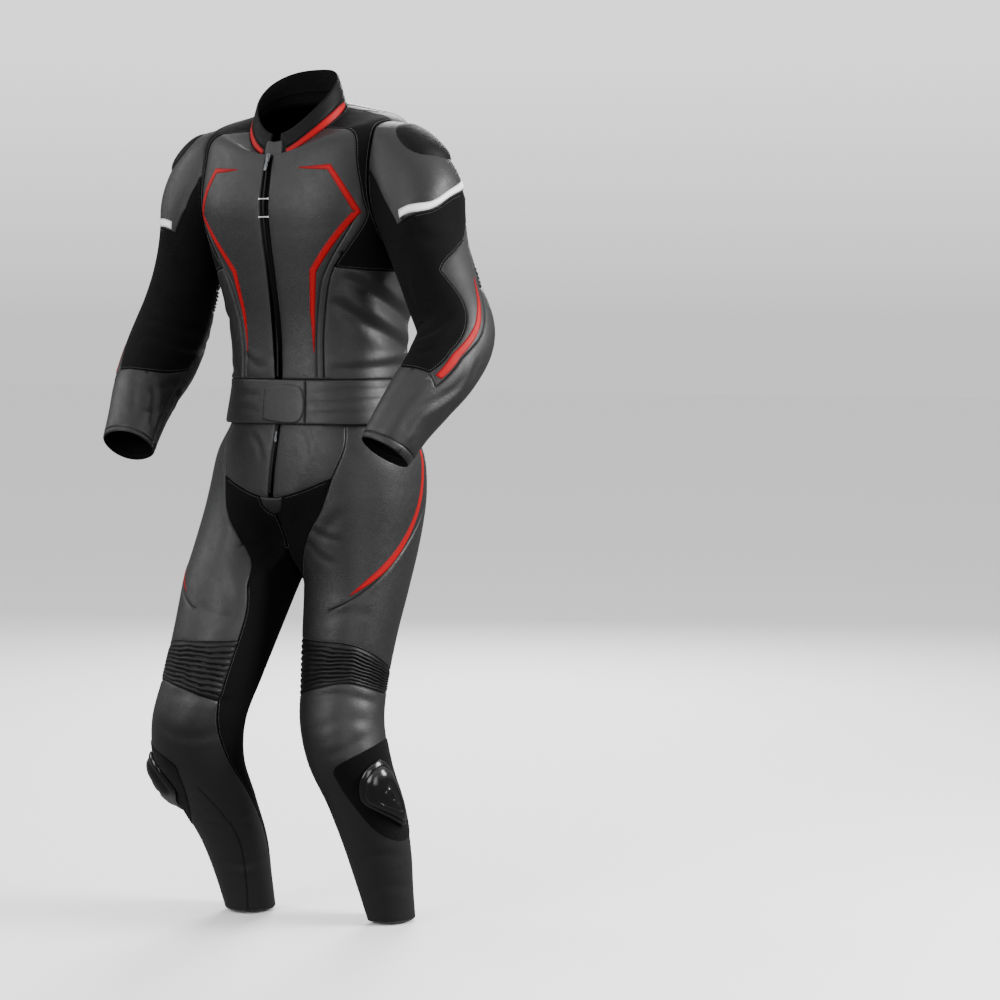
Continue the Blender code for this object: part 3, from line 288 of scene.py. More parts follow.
# Pull tabs: form, where on it, length, half width
PULLS = {"zip_pull": ("torso", SLIDER_AT, 0.0240, 0.0030), "fly_pull": ("hips", -0.5380, 0.0180, 0.0025)}
BAR_TACKS, BAR_HALF = (0.409, 0.365), 0.0095      # across the front zip: where, and half their length
TOOTH_PITCH = 0.0030
# A tooth's corners: across, along as shares of the pitch, and up
TOOTH = ((0.0004, -0.2604, 0.0004), (0.0030, -0.1860, 0.0004), (0.0030, 0.1860, 0.0004),
         (0.0004, 0.2604, 0.0004), (0.0002, -0.1860, 0.0015), (0.0026, -0.1240, 0.0015),
         (0.0026, 0.1240, 0.0015), (0.0002, 0.1860, 0.0015))
TOOTH_FACES = ((0, 1, 2, 3), (4, 7, 6, 5), (0, 4, 5, 1), (1, 5, 6, 2), (2, 6, 7, 3), (3, 7, 4, 0))

# A stitch's corners: along as shares of half its length, across as shares of half the thread, and up
STITCH = ((-1, 0, -0.0001), (-0.6, -1, 0), (0.6, -1, 0), (1, 0, -0.0001), (0.6, 1, 0), (-0.6, 1, 0),
          (-0.6, 0, 0.00045), (0.6, 0, 0.00045))
STITCH_FACES = ((0, 1, 6), (1, 2, 7, 6), (2, 3, 7), (3, 4, 7), (4, 5, 6, 7), (5, 0, 6))
STITCH_PACE = 1.22      # from stitch to stitch, as a share of a stitch
THREAD_HALF = 0.00042

# Inlays and tabs that lie on the panels
RED_SHOWS = {"chest_stripe": 1.22, "thigh_stripe": 1.10}    # their rolled edges hide some of the red
COLLAR_STRIPE = ((19, 0.15, 0.0042), (40, 0.16, 0.0062), (66, 0.165, 0.0072), (90, 0.16, 0.0070),
                 (106, 0.15, 0.0040))
COLLAR_TAB = ((-13, 0.04), (-4, 0.02), (4, 0.02), (13, 0.04), (13, 0.62), (0, 0.66), (-13, 0.62))
ANKLE_TAB = ((166, -1.340), (214, -1.340), (214, -1.376), (166, -1.376))

# Seam lines inside a piece: its name, and the path on its form
GROOVES = (
    ("thigh", ((116, -0.672), (98, -0.716), (76, -0.757), (52, -0.793), (30, -0.820), (10, -0.837))),
    ("shin", ((-24, -1.150), (-48, -1.235), (-44, -1.325), (-32, -1.392))),
    ("seat", ((222, -0.589), (222, -0.655), (214, -0.740), (206, -0.800))),
    ("front", ((33, 0.079), (33, 0.152), (37, 0.226), (42, 0.262), (57, 0.345), (57, 0.390))),
    ("side", ((104, 0.590), (104, 0.500), (108, 0.420), (111, 0.360), (111, 0.300), (109, 0.224),
              (107, 0.080))),
    ("side", ((111, 0.368), (99, 0.340), (93, 0.318))),
    ("forearm", ((-160, 0.521), (20, 0.521), (199, 0.521))),
    ("collar", ((20, 0.32), (90, 0.35), (180, 0.36), (270, 0.35), (340, 0.32))),
)
# Creases by chart: depth, minus where the ridge stands on the line's other side, width, and the path
# in degrees and along, all lengths in millimetres
FOLDS = (
    ("torso", (
        (5.6, 11, ((50, 246), (68, 220), (86, 194), (120, 160))),
        (5, 10, ((44, 206), (64, 170), (88, 142), (112, 120))),
        (3.6, 8, ((42, 90), (70, 94), (114, 104))),
        (4.2, 9, ((244, 160), (272, 190), (296, 214))),
        (3.6, 9, ((250, 126), (276, 150), (304, 186))),
        (-2.6, 7, ((248, 100), (286, 92), (314, 84))),
        (1.8, 4, ((20, 50), (52, 56), (96, 60))),
        (1.8, 4, ((20, 34), (46, 36), (92, 44))),
        (1.6, 4, ((22, 16), (50, 20), (84, 24))),
        (1.6, 4, ((306, 54), (330, 50), (344, 48))),
        (1.4, 4, ((302, 24), (326, 26), (342, 22))),
        (1.6, 6, ((324, 116), (338, 100), (352, 92))),
        (-1.6, 7, ((344, 100), (356, 112), (362, 136))),
    )),
    ("sleeve_left", (
        (2.4, 8, ((70, 96), (50, 144), (16, 164))),
        (3, 7, ((106, 112), (114, 164), (98, 244))),
        (-2.8, 7, ((136, 296), (96, 304), (58, 268))),
        (2, 6, ((110, 356), (76, 344), (56, 312))),
        (2.2, 6, ((44, 428), (48, 470), (46, 510))),
        (2.4, 6, ((10, 366), (26, 420), (46, 456))),
        (-2, 6, ((2, 336), (-4, 380), (-10, 440))),
        (1.6, 5, ((72, 404), (84, 440), (88, 480))),
        (1.5, 4, ((82, 520), (44, 516), (8, 500))),
    )),
    ("sleeve_right", (
        (3.2, 7, ((96, 276), (136, 252), (192, 180))),
        (-3.2, 7, ((100, 312), (152, 284), (222, 220))),
        (2.6, 6, ((102, 344), (148, 324), (210, 272))),
        (2.4, 8, ((100, 88), (124, 80), (142, 56))),
        (-2.6, 8, ((84, 192), (130, 164), (172, 120))),
        (2.4, 6, ((102, 396), (146, 392), (214, 324))),
        (-2.2, 6, ((100, 444), (144, 444), (206, 388))),
        (2.4, 6, ((142, 378), (160, 412), (176, 482))),
        (2.6, 6, ((184, 344), (220, 372), (228, 420))),
        (-2.2, 6, ((228, 262), (230, 324), (224, 388))),
        (-1.8, 5, ((112, 392), (120, 430), (128, 480))),
    )),
    ("leg_left", (
        (1.8, 6, ((342, -685), (360, -710), (380, -720))),
        (1.5, 6, ((340, -715), (356, -745), (374, -760))),
    )),
    ("leg_right", (
        (1.8, 6, ((320, -695), (328, -730), (338, -750))),
    )),
    ("leg_left", (
        (1.5, 5, ((342, -535), (350, -560), (350, -585))),
    )),
    ("leg_right", (
        (1.5, 5, ((350, -540), (332, -560), (324, -590))),
    )),
    ("leg_left", (
        (2.4, 7, ((340, -992), (388, -978), (448, -998))),
        (-1.3, 9, ((350, -1040), (392, -1020), (436, -1024))),
        (1.1, 8, ((360, -1085), (398, -1066), (428, -1046))),
        (1.2, 9, ((350, -1290), (392, -1262), (452, -1272))),
        (-1, 9, ((344, -1345), (402, -1322), (466, -1335))),
        (1.4, 9, ((338, -760), (364, -705), (386, -665))),
        (1.1, 9, ((352, -860), (384, -842), (418, -846))),
    )),
    ("leg_right", (
        (1.5, 9, ((376, -730), (342, -795), (318, -845))),
        (2.2, 7, ((370, -978), (330, -980), (290, -995))),
        (-1.4, 9, ((386, -1030), (336, -1052), (286, -1040))),
        (1.8, 8, ((354, -1215), (310, -1225), (248, -1220))),
        (-1.6, 8, ((4, -1295), (-44, -1305), (-98, -1295))),
        (1.8, 9, ((6, -830), (-20, -850), (-44, -845))),
    )),
    ("torso", (
        (2.2, 9, ((238, 552), (218, 464), (204, 400))),
        (2.2, 5, ((110, 64), (162, 76), (204, 76), (232, 68))),
        (-2, 5, ((110, 36), (164, 44), (212, 48), (252, 36))),
        (2.2, 6, ((234, 136), (246, 120), (268, 120))),
        (-2, 6, ((234, 88), (246, 96), (268, 112))),
        (2, 6, ((112, 104), (138, 84))),
        (2, 8, ((240, 272), (250, 224), (262, 180))),
    )),
    ("sleeve_right", (
        (2.8, 7, ((250, 124), (284, 176), (350, 220))),
        (-2.8, 7, ((226, 148), (280, 216), (346, 256))),
        (2.2, 6, ((212, 200), (268, 244), (322, 280))),
        (2.2, 8, ((284, 20), (290, 40), (304, 56))),
    )),
    ("sleeve_left", (
        (2.8, 7, ((314, 284), (258, 244), (226, 200))),
        (-2.8, 7, ((270, 220), (234, 148))),
        (2.2, 8, ((326, 84), (282, 56), (258, 28))),
    )),
    ("leg_left", (
        (2, 9, ((196, -680), (206, -725), (212, -760))),
        (2.2, 9, ((158, -830), (188, -840), (220, -830))),
    )),
    ("leg_right", (
        (2.2, 9, ((220, -875), (170, -855))),
    )),
    ("leg_left", (
        (3.2, 7, ((154, -930), (198, -940), (262, -930))),
        (-3, 7, ((128, -980), (190, -990), (256, -980))),
        (2.6, 7, ((174, -1035), (228, -1030))),
    )),
    ("leg_right", (
        (3.2, 7, ((206, -1000), (164, -1010), (112, -1000))),
        (-3, 7, ((214, -1045), (166, -1055), (114, -1045))),
        (2.6, 7, ((218, -1090), (168, -1100), (126, -1090))),
    )),
    ("leg_left", (
        (1.8, 8, ((154, -1180), (190, -1185), (222, -1180))),
    )),
    ("leg_right", (
        (-1.8, 8, ((214, -1220), (170, -1230), (138, -1220))),
    )),
)


# Studio. Lamps stand round the middle of the suit: degrees round it, height, distance, size, watts
MIDDLE = (0.0, -0.05, -0.60)
FLOOR = 30
LAMPS = (("key", -8, 0.9, 3.4, 1.8, 110), ("side", 106, 1.1, 2.8, 1.1, 200), ("rim", -70, 1.5, 3.0, 1.2, 40),
         ("back", 205, 1.8, 3.4, 1.6, 190), ("low", 50, -0.3, 3.6, 1.4, 45))
CAMERA_TURN, CAMERA_YAW, CAMERA_TILT = 35.0, 3.79, -3.87
CAMERA_AWAY, CAMERA_HIGH, CAMERA_LENS = 4.6, -0.35, 96.0


def table_at(rows, place):
    """Values of a table at places in its first column, on a smooth curve through its rows."""
    rows = np.asarray(rows, float)
    key, values = rows[:, 0], rows[:, 1:]
    if key[0] > key[-1]:
        key, values = key[::-1], values[::-1]
    gap = np.diff(key)[:, None]
    slope = np.diff(values, axis=0) / gap
    middle = (gap[1:] * slope[:-1] + gap[:-1] * slope[1:]) / (gap[1:] + gap[:-1])
    lean = np.vstack([slope[:1], middle, slope[-1:]])
    place = np.atleast_1d(np.asarray(place, float))
    cell = np.clip(np.searchsorted(key, place, side="right") - 1, 0, len(gap) - 1)
    t = ((place - key[cell]) / gap[cell, 0])[:, None]
    size = gap[cell]
    return ((2 * t**3 - 3 * t**2 + 1) * values[cell] + (t**3 - 2 * t**2 + t) * size * lean[cell]
            + (3 * t**2 - 2 * t**3) * values[cell + 1] + (t**3 - t**2) * size * lean[cell + 1])


def ease(t):
    """A smooth step from 0 to 1."""
    t = np.clip(t, 0.0, 1.0)
    return t * t * (3 - 2 * t)


def unit(vectors):
    """Vectors of length one."""
    return vectors / np.maximum(np.linalg.norm(vectors, axis=-1, keepdims=True), 1e-9)


def quarter(run):
    """Flat directions turned a quarter to the left."""
    return np.stack([-run[:, 1], run[:, 0]], axis=1)


def lengths(steps):
    """Length of a path up to each of its points, from the steps between them."""
    return np.concatenate([[0], np.cumsum(np.linalg.norm(steps, axis=1))])


def at_stops(path, length, stops):
    """Points of a path at given lengths along it."""
    return np.stack([np.interp(stops, length, column) for column in path.T], axis=1)


def oval(angle, side, ahead, fullness):
    """Distance from the centre of a full oval to its edge."""
    reach = np.abs(np.sin(angle) / side)**fullness + np.abs(np.cos(angle) / ahead)**fullness
    return reach**(-1 / fullness)


def torso(around, along):
    """0 front, 90 the wearer's left, 180 back; along from the hem to the neck."""
    height, half, front, back, drop, full = table_at(TORSO_ROWS, along).T
    angle = np.radians(around)
    middle, deep = (back - front) / 2, (back + front) / 2
    reach = oval(angle, half, deep, full)
    z = height - drop * ((1 + np.cos(angle)) / 2)**1.8
    return np.stack([reach * np.sin(angle), middle - reach * np.cos(angle), z], axis=-1)


def collar(around, along):
    """Stand collar on the neck ring; along 0 at the seam, 1 at the top."""
    angle = np.radians(around)
    base = torso(around, np.full(len(angle), NECK))
    tall = 0.041 + 0.014 * ((1 - np.cos(angle)) / 2)**1.5
    lean = np.stack([-0.28 * np.sin(angle), 0.22 * np.cos(angle), np.ones_like(angle)], axis=-1)
    return base + lean * (tall * along)[:, None]


def armhole(around):
    """Place on the torso form of a point round the left armhole, 0 top, 90 front, 180 under."""
    angle = np.radians(around)
    return 85.0 - 20.0 * np.sin(angle), 0.4085 + 0.1185 * np.cos(angle)


def sleeve(side, around, along):
    """Tube down the arm that starts on the armhole."""
    rows = SLEEVE_ROWS[side]
    angle = np.radians(around)
    late = UNDERARM * (1 - np.cos(angle)) / 2
    place = late + along * (1 - late / CUFF)
    middle = table_at(rows, place)
    run = unit(table_at(rows, place + 0.002)[:, :3] - table_at(rows, place - 0.002)[:, :3])
    ahead = unit(np.array([0.0, -1.0, 0.0]) + run * run[:, 1:2])
    out = np.cross(run, ahead)
    out *= np.sign(out[:, :1])
    reach = oval(angle, middle[:, 4], middle[:, 3], 2.15)
    tube = middle[:, :3] + (reach * np.cos(angle))[:, None] * out + (reach * np.sin(angle))[:, None] * ahead
    turned = (1 - (1 - np.clip(along / CAP, 0, 1))**2)[:, None]
    start = torso(*armhole(around)) + (SEAM, 0.0, 0.0)
    point = start * (1 - turned) + tube * turned
    return point * (np.array([1.0, 1.0, 1.0]) if side == "left" else np.array([-1.0, 1.0, 1.0]))


def leg(side, around, height):
    """Half of the hips that turns into a leg below; from the front centre round the outside to the
    back centre, then along the crotch and the inner leg."""
    around = (np.asarray(around, float) - FRONT_CENTRE) % 360 + FRONT_CENTRE
    half, front, back, sway, full = table_at(HIP_ROWS, height).T
    centre_x, centre_y, wide, ahead, behind = table_at(LEG_ROWS[side], height).T
    angle = np.radians(around)
    reach = oval(angle, wide, np.where(np.cos(angle) > 0, ahead, behind), 2.1)
    tube = np.stack([centre_x + reach * np.sin(angle), centre_y - reach * np.cos(angle)], axis=-1)

    outside = around <= BACK_CENTRE
    sweep = np.clip((around - FRONT_CENTRE) / (BACK_CENTRE - FRONT_CENTRE), 0, 1)
    turn = sweep * math.pi
    middle, deep = (back - front) / 2, (back + front) / 2
    reach = oval(turn, half, deep, full)
    hip = np.stack([reach * np.sin(turn), middle - reach * np.cos(turn)], axis=-1)
    cross = np.clip((around - BACK_CENTRE) / CROTCH_SPAN, 0, 1)
    hip = np.where(outside[:, None], hip, np.stack([0 * cross, back * (1 - cross) - front * cross], axis=-1))

    centre = np.where(outside, 1 - ease(np.minimum(sweep, 1 - sweep) * 5.5), 1.0)
    hip[:, 1] *= 1 - 0.36 * centre * ease((-0.640 - height) / (-0.640 - CROTCH))
    start = LEG_START + (CROTCH - LEG_START) * centre
    turned = ease((start - height) / (start - LEG_FULL - 0.01 * centre))[:, None]
    point = hip * (1 - turned) + tube * turned
    below = np.clip(CROTCH - height, 0, None)
    clear = SEAM + below * 0.12
    soft = np.minimum(below, 0.04) * 0.25
    kept = (point[:, 0] + clear + np.sqrt((point[:, 0] - clear)**2 + soft**2)) / 2
    x = np.where(outside & (height > CROTCH), point[:, 0], kept)
    mirror = 1.0 if side == "left" else -1.0
    return np.stack([mirror * x + sway, point[:, 1], height], axis=-1)


def hips(around, height):
    """Both halves of the hips as one form: 0 front centre, 180 back centre, past it the right side."""
    around = np.asarray(around, float) % 360
    beyond = around > 180
    half = np.where(beyond, 360 - around, around)
    place = FRONT_CENTRE + half * (BACK_CENTRE - FRONT_CENTRE) / 180
    return np.where(beyond[:, None], leg("right", place, height), leg("left", place, height))


# form, metres a degree, +1 where round x along points out and -1 where it points in
CHARTS = {
    "torso": (torso, 0.0029, 1),
    "collar": (collar, 0.0015, 1),
    "hips": (hips, 0.0029, 1),
    "sleeve_left": (lambda u, v: sleeve("left", u, v), 0.00113, 1),
    "sleeve_right": (lambda u, v: sleeve("right", u, v), 0.00113, -1),
    "leg_left": (lambda u, v: leg("left", u, v), 0.00145, 1),
    "leg_right": (lambda u, v: leg("right", u, v), 0.00145, -1),
}
FINE = 0.0065           # between the points of a cloth piece
RIM_STEP = 0.0016       # between the points of its rim
RIM_ROWS = (0.0010, 0.0023, 0.0042)                     # rows of points that follow the rim
GROOVE_ROWS = (-0.0034, -0.0016, 0.0, 0.0016, 0.0034)   # and a seam line inside the piece
RIB_POINTS = 7          # rows of points to a rib


def slopes(chart, places):
    """How a form's points move with a degree round it and with a unit along it."""
    form = CHARTS[chart][0]
    u, v = places.T
    du, dv = 0.6, (0.03 if chart == "collar" else 0.0015)
    return (form(u + du, v) - form(u - du, v)) / (2 * du), (form(u, v + dv) - form(u, v - dv)) / (2 * dv)


def surface(chart, places):
    """Points of a form and its outward unit normals."""
    form, _, facing = CHARTS[chart]
    return form(*places.T), unit(np.cross(*slopes(chart, places)) * facing)


def stretch(chart, places):
    """Metres to a degree round and metres to a unit along, at each place."""
    return np.stack([np.linalg.norm(slope, axis=1) for slope in slopes(chart, places)], axis=1)


def trace(points, chart="torso", step=FINE):
    """Close points on a smooth line through a seam's own points."""
    rows = np.array([points[0], *points, points[-1]], float)
    scale = (CHARTS[chart][1], 0.045 if chart == "collar" else 1.0)
    line = []
    for before, start, end, after in zip(rows, rows[1:], rows[2:], rows[3:]):
        steps = max(1, math.ceil(math.hypot(*((end - start) * scale)) / step))
        t = (np.arange(steps) / steps)[:, None]
        line.append((2 * start + (end - before) * t + (2 * before - 5 * start + 4 * end - after) * t**2
                     + (3 * start - before - 3 * end + after) * t**3) / 2)
    return np.vstack(line + [rows[-1:]])


def mirrored(line):
    """The same line on the wearer's right."""
    return np.array(line) * (-1, 1) + (360, 0)


def loop(*lines):
    """Closed outline from lines that meet end to end, each turned as needed."""
    outline = np.array(lines[0], float)
    for line in lines[1:]:
        line = np.array(line, float)
        if np.hypot(*(line[0] - outline[-1])) > 1e-6:
            line = line[::-1]
        outline = np.vstack([outline, line[1:]])
    return outline[:-1] if np.hypot(*(outline[0] - outline[-1])) < 1e-6 else outline


def closed(points, chart, step=FINE):
    """Smooth closed outline through its own points."""
    points = list(points)
    line = trace([points[-1]] + points + points[:2], chart, step)
    first = np.argmin(np.hypot(*((line - points[0]).T)))
    last = first + 1 + np.argmin(np.hypot(*((line[first + 1:] - points[0]).T)))
    return line[first:last] if last > first + 3 else line[first:]


def ribbon(rows, chart, corners=False):
    """Outline of a stripe from its centre line and half widths, with its length and width. It bends in
    corners or in one smooth line."""
    rows = np.array(rows, float)
    if corners:
        scale = (CHARTS[chart][1], 1.0)
        parts = [np.linspace(a, b, max(2, math.ceil(math.hypot(*((b - a)[:2] * scale)) / 0.004)),
                             endpoint=False) for a, b in zip(rows, rows[1:])]
        line = np.vstack(parts + [rows[-1:]])
        line, half = line[:, :2], line[:, 2]
    else:
        line = trace(rows[:, :2], chart)
        knots = [0] + [int(np.argmin(np.hypot(*(line - row[:2]).T))) for row in rows[1:]]
        half = np.interp(np.arange(len(line)), knots, rows[:, 2])
    metric = stretch(chart, line)
    steps = np.diff(line, axis=0) * metric[1:]
    run = unit(steps)
    bends = (run[:-1] + run[1:]) / (1 + np.sum(run[:-1] * run[1:], axis=1))[:, None]
    side = quarter(np.vstack([run[:1], bends, run[-1:]])) * half[:, None] / metric
    size = max(0.011, 2 * float(half.max())), float(lengths(steps)[-1])
    return np.vstack([line + side, (line - side)[::-1]]), size


def inside(points, outline):
    """Which flat points lie inside an outline."""
    odd = np.zeros(len(points), bool)
    for a, b in zip(outline, np.roll(outline, -1, axis=0)):
        if a[1] != b[1]:
            crosses = (a[1] > points[:, 1]) != (b[1] > points[:, 1])
            odd ^= crosses & (points[:, 0] < (b[0] - a[0]) * (points[:, 1] - a[1]) / (b[1] - a[1]) + a[0])
    return odd


def path_gap(points, path, ring=False):
    """Distance of points from a path, where along it (0 to 1) and which side it lies on by the path's
    own turn, in two or three dimensions."""
    start, end = (path, np.roll(path, -1, axis=0)) if ring else (path[:-1], path[1:])
    run = end - start
    size = np.maximum(np.sum(run * run, axis=1), 1e-14)
    best = np.full(len(points), 1e9)
    along = np.zeros(len(points))
    nearest = np.zeros((len(points), path.shape[1]))
    turn = np.zeros((len(points), path.shape[1]))
    count = len(run)
    for k in range(count):
        t = np.clip((points - start[k]) @ run[k] / size[k], 0, 1)
        spot = start[k] + t[:, None] * run[k]
        far = np.linalg.norm(points - spot, axis=1)
        near = far < best
        best[near] = far[near]
        along[near] = (k + t[near]) / count
        nearest[near] = spot[near]
        turn[near] = run[k]
    return best, along, nearest, turn


def mitres(outline, metric, blunt):
    """Steps into a closed outline, for a metre of inset, that keep an even distance from it."""
    flat = outline * np.median(metric, axis=0)
    area = np.sum(flat[:, 0] * np.roll(flat[:, 1], -1) - np.roll(flat[:, 0], -1) * flat[:, 1])
    side = quarter(unit((np.roll(outline, -1, axis=0) - outline) * metric)) * (1 if area > 0 else -1)
    before = np.roll(side, 1, axis=0)
    return (before + side) / np.maximum(blunt, 1 + np.sum(before * side, axis=1))[:, None]


def fill(chart, outline, spacing=FINE, columns=None, grooves=(), level=None):
    """Flat triangles that fill an outline: places, faces. Rows close to the rim and to the seam lines
    inside it keep their rolled edges. level holds the ways to straight ribs and back."""
    metric = stretch(chart, outline)
    spread = np.median(metric, axis=0)
    reach = np.linalg.norm((np.roll(outline, -1, axis=0) - outline) * metric, axis=1)
    keep = np.ones(len(outline), bool)
    gathered = RIM_STEP
    for k in range(len(outline)):
        keep[k] = gathered >= RIM_STEP
        gathered = reach[k] if keep[k] else gathered + reach[k]
    outline, metric = outline[keep], metric[keep]
    flat = outline * spread
    mitre = mitres(outline, metric, 0.25)
    rows = [(outline + mitre * inset / metric, inset * 0.8) for inset in RIM_ROWS]
    for line in grooves:
        scale = stretch(chart, line)
        side = quarter(unit(np.gradient(line, axis=0) * scale)) / scale
        rows += [(line + side * step, 0.0020) for step in GROOVE_ROWS]
    if columns is None:
        low, high = flat.min(axis=0), flat.max(axis=0)
        grid = []
        for k, along in enumerate(np.arange(low[1], high[1], spacing * 0.87)):
            across = np.arange(low[0] + (k % 2) * spacing / 2, high[0], spacing)
            grid.append(np.stack([across, np.full(len(across), along)], axis=1))
        rows.append((np.vstack(grid) / spread, RIM_ROWS[-1] + spacing * 0.6))
    else:
        rows.append((columns, 0.0012))
    kept = [outline]
    for places, room in rows:
        places = places[inside(places * spread, flat)]
        if len(places):
            clear = path_gap(places * spread, flat, True)[0] > room
            if room > RIM_ROWS[-1]:
                for line in grooves:
                    gap = path_gap(places * spread, line * spread)[0]
                    clear &= gap > GROOVE_ROWS[-1] + spacing * 0.5
            kept.append(places[clear])
    edges = [(k, (k + 1) % len(outline)) for k in range(len(outline))]
    there, back = level or (lambda p: p * spread / spacing, lambda p: p * spacing / spread)
    result = delaunay_2d_cdt([Vector(p) for p in there(np.vstack(kept))], edges, [], 1, 1e-5)
    return back(np.array([tuple(p) for p in result[0]])), np.array([tuple(f) for f in result[2]])


def fold_paths():
    """The creases as paths in space."""
    made = []
    for chart, rows in FOLDS:
        for depth, width, points in rows:
            line = trace([(u, v / 1000) for u, v in points], chart, 0.012)
            made.append((*surface(chart, line), abs(depth) / 1000, width / 1000, math.copysign(1, depth)))
    return made


PATHS = fold_paths()


def creases(points, normals):
    """Height of the cloth above its smooth form: the listed creases, and a little unevenness."""
    height = np.zeros(len(points))
    for number, (path, path_normal, depth, width, side) in enumerate(PATHS):
        low, high = path.min(axis=0) - 4 * width, path.max(axis=0) + 4 * width
        near = np.all((points > low) & (points < high), axis=1)
        if not near.any():
            continue
        far, along, spot, run = path_gap(points[near], path)
        facing = normals[near]
        across = np.sign(np.einsum("ij,ij->i", np.cross(facing, run), points[near] - spot)) * far * side
        index = np.clip((along * (len(path) - 1)).round().astype(int), 0, len(path) - 1)
        same = np.einsum("ij,ij->i", facing, path_normal[index]) > 0.2
        x = across / width
        taper = np.clip(np.sin(np.pi * np.clip(along, 0, 1)), 0, 1)**0.55
        wave = 1 + 0.14 * np.sin(5 * along + 1.7 * number)
        trough = -np.exp(-np.abs(x)**1.6)
        ridge = 0.75 * np.exp(-((x - 1.75) / 1.05)**2) + 0.25 * np.exp(-((x + 1.9) / 1.3)**2)
        height[near] += np.where(same, depth * taper * wave * (trough + ridge), 0.0)
    swell = np.array([noise.noise(Vector(p) * 9.0) for p in points * (1.0, 1.0, 0.6)])
    return height + swell * 0.0010


def roll(edge, depth, width, puff):
    """A sewn edge turns down into its seam, and the leather stands a little prouder away from it."""
    return puff * (1 - np.exp(-edge / 0.012)) - (depth + puff) * np.exp(-(edge / width)**2)


def fade(edge, reach):
    """0 at the rim, 1 well inside it."""
    return 1 - np.exp(-(edge / reach)**1.5)


def rim_of(faces):
    """Directed edges round a flat mesh."""
    a, b = faces.ravel(), np.roll(faces, -1, axis=1).ravel()
    pairs = set(zip(a.tolist(), b.tolist()))
    return [(x, y) for x, y in pairs if (y, x) not in pairs]


def solid(name, top, bottom, faces, edge, finishes):
    """Object of a thin piece: top, bottom and rim, smooth-shaded, with its distance from the seam. It has
    a finish on top and one below."""
    count = len(top)
    ring = rim_of(faces)
    quads = [(b, a, a + count, b + count) for a, b in ring]
    mesh = bpy.data.meshes.new(name)
    mesh.from_pydata(np.vstack([top, bottom]).tolist(), [],
                     faces.tolist() + (faces[:, ::-1] + count).tolist() + quads)
    mesh.shade_smooth()
    mesh.set_sharp_from_angle(angle=math.radians(60))
    layer = mesh.attributes.new("edge", "FLOAT", "POINT")
    layer.data.foreach_set("value", np.concatenate([edge, edge]).astype(np.float32))
    for finish in finishes:
        mesh.materials.append(finish)
    index = np.zeros(2 * len(faces) + len(quads), np.int32)
    index[len(faces):2 * len(faces)] = 1
    mesh.polygons.foreach_set("material_index", index)
    piece = bpy.data.objects.new(name, mesh)
    bpy.context.scene.collection.objects.link(piece)
    return piece


def cut_size(places, faces, chart, points):
    """Flat width, length and area of a cut piece."""
    spread = np.median(stretch(chart, places), axis=0)
    flat = (places - places.mean(axis=0)) * spread
    best = None
    for turn in np.radians(np.arange(0, 90, 5)):
        axes = np.array([[math.cos(turn), math.sin(turn)], [-math.sin(turn), math.cos(turn)]])
        size = np.ptp(flat @ axes.T, axis=0)
        if best is None or size[0] * size[1] < best[0] * best[1]:
            best = size
    area = float(np.sum(np.linalg.norm(np.cross(points[faces[:, 1]] - points[faces[:, 0]],
                                                points[faces[:, 2]] - points[faces[:, 0]]), axis=1)) / 2)
    width, length = sorted(map(float, best))
    fullest = min(1.0, max(0.32, area / (width * length)))
    return max(0.0102, area / (fullest * length)), length, area


def sew(node, chart, outline, finish, slot, lift=None, thick=WALL, size=None, shape=None, crown=0.0,
        spacing=FINE, columns=None, level=None, lining="lining", edge_roll=SEWN, stands_for=True):
    """Cloth piece that stands for a CAD node, or a small extra one. lift is the gap under what lies on
    a panel."""
    grooves = seam_lines(node, chart)
    places, faces = fill(chart, outline, spacing, columns, grooves, level)
    if CHARTS[chart][2] < 0:
        faces = faces[:, ::-1]
    points, normals = surface(chart, places)
    rim = surface(chart, outline)[0]
    rim_gap = path_gap(points, rim, True)[0]
    edge = rim_gap
    height = creases(points, normals)
    if shape is not None:
        height = height + shape(places, edge)
    for line in grooves:
        far = path_gap(points, surface(chart, line)[0])[0]
        trough, swell = np.exp(-(far / 0.0013)**2), np.exp(-((far - 0.0040) / 0.0020)**2)
        height = height - GROOVE_DEEP * trough + GROOVE_SWELL * swell
        edge = np.minimum(edge, far + 0.0004)
    upper = height + roll(rim_gap, *edge_roll) + crown * fade(rim_gap, 0.009)
    if lift is None:
        top, bottom = upper, height - thick
    else:
        top, bottom = upper + lift + thick, height + lift
    bottom = np.minimum(bottom, top - 0.0004)
    piece = solid(node + "_piece", points + normals * top[:, None], points + normals * bottom[:, None], faces,
                  edge, [material(finish), material(lining)])
    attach(piece, "suit")
    if stands_for:
        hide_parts(node)
    width, length, area = cut_size(places, faces, chart, points)
    if size is not None:
        width, length = size
        width = max(width, 1.001 * area / length)
    return piece


def seam_lines(node, chart):
    """The seam lines inside a piece, as paths on its form."""
    lines = []
    for name, points in GROOVES:
        if node in (name, name + "_left", name + "_right"):
            line = trace(points, chart, 0.0035)
            lines.append(mirrored(line) if chart == "torso" and node.endswith("right") else line)
    return lines


def linear(text):
    """An sRGB hex colour as linear numbers."""
    parts = [int(text[k:k + 2], 16) / 255 for k in (1, 3, 5)]
    return tuple(c / 12.92 if c <= 0.04045 else ((c + 0.055) / 1.055)**2.4 for c in parts) + (1.0,)


def add(tree, kind, settings=None, links=None):
    """A shader node with its settings and links."""
    node = tree.nodes.new(kind)
    for key, value in (settings or {}).items():
        if isinstance(key, int) or key in node.inputs:
            node.inputs[key].default_value = value
        else:
            setattr(node, key, value)
    for key, source in (links or {}).items():
        tree.links.new(source, node.inputs[key])
    return node


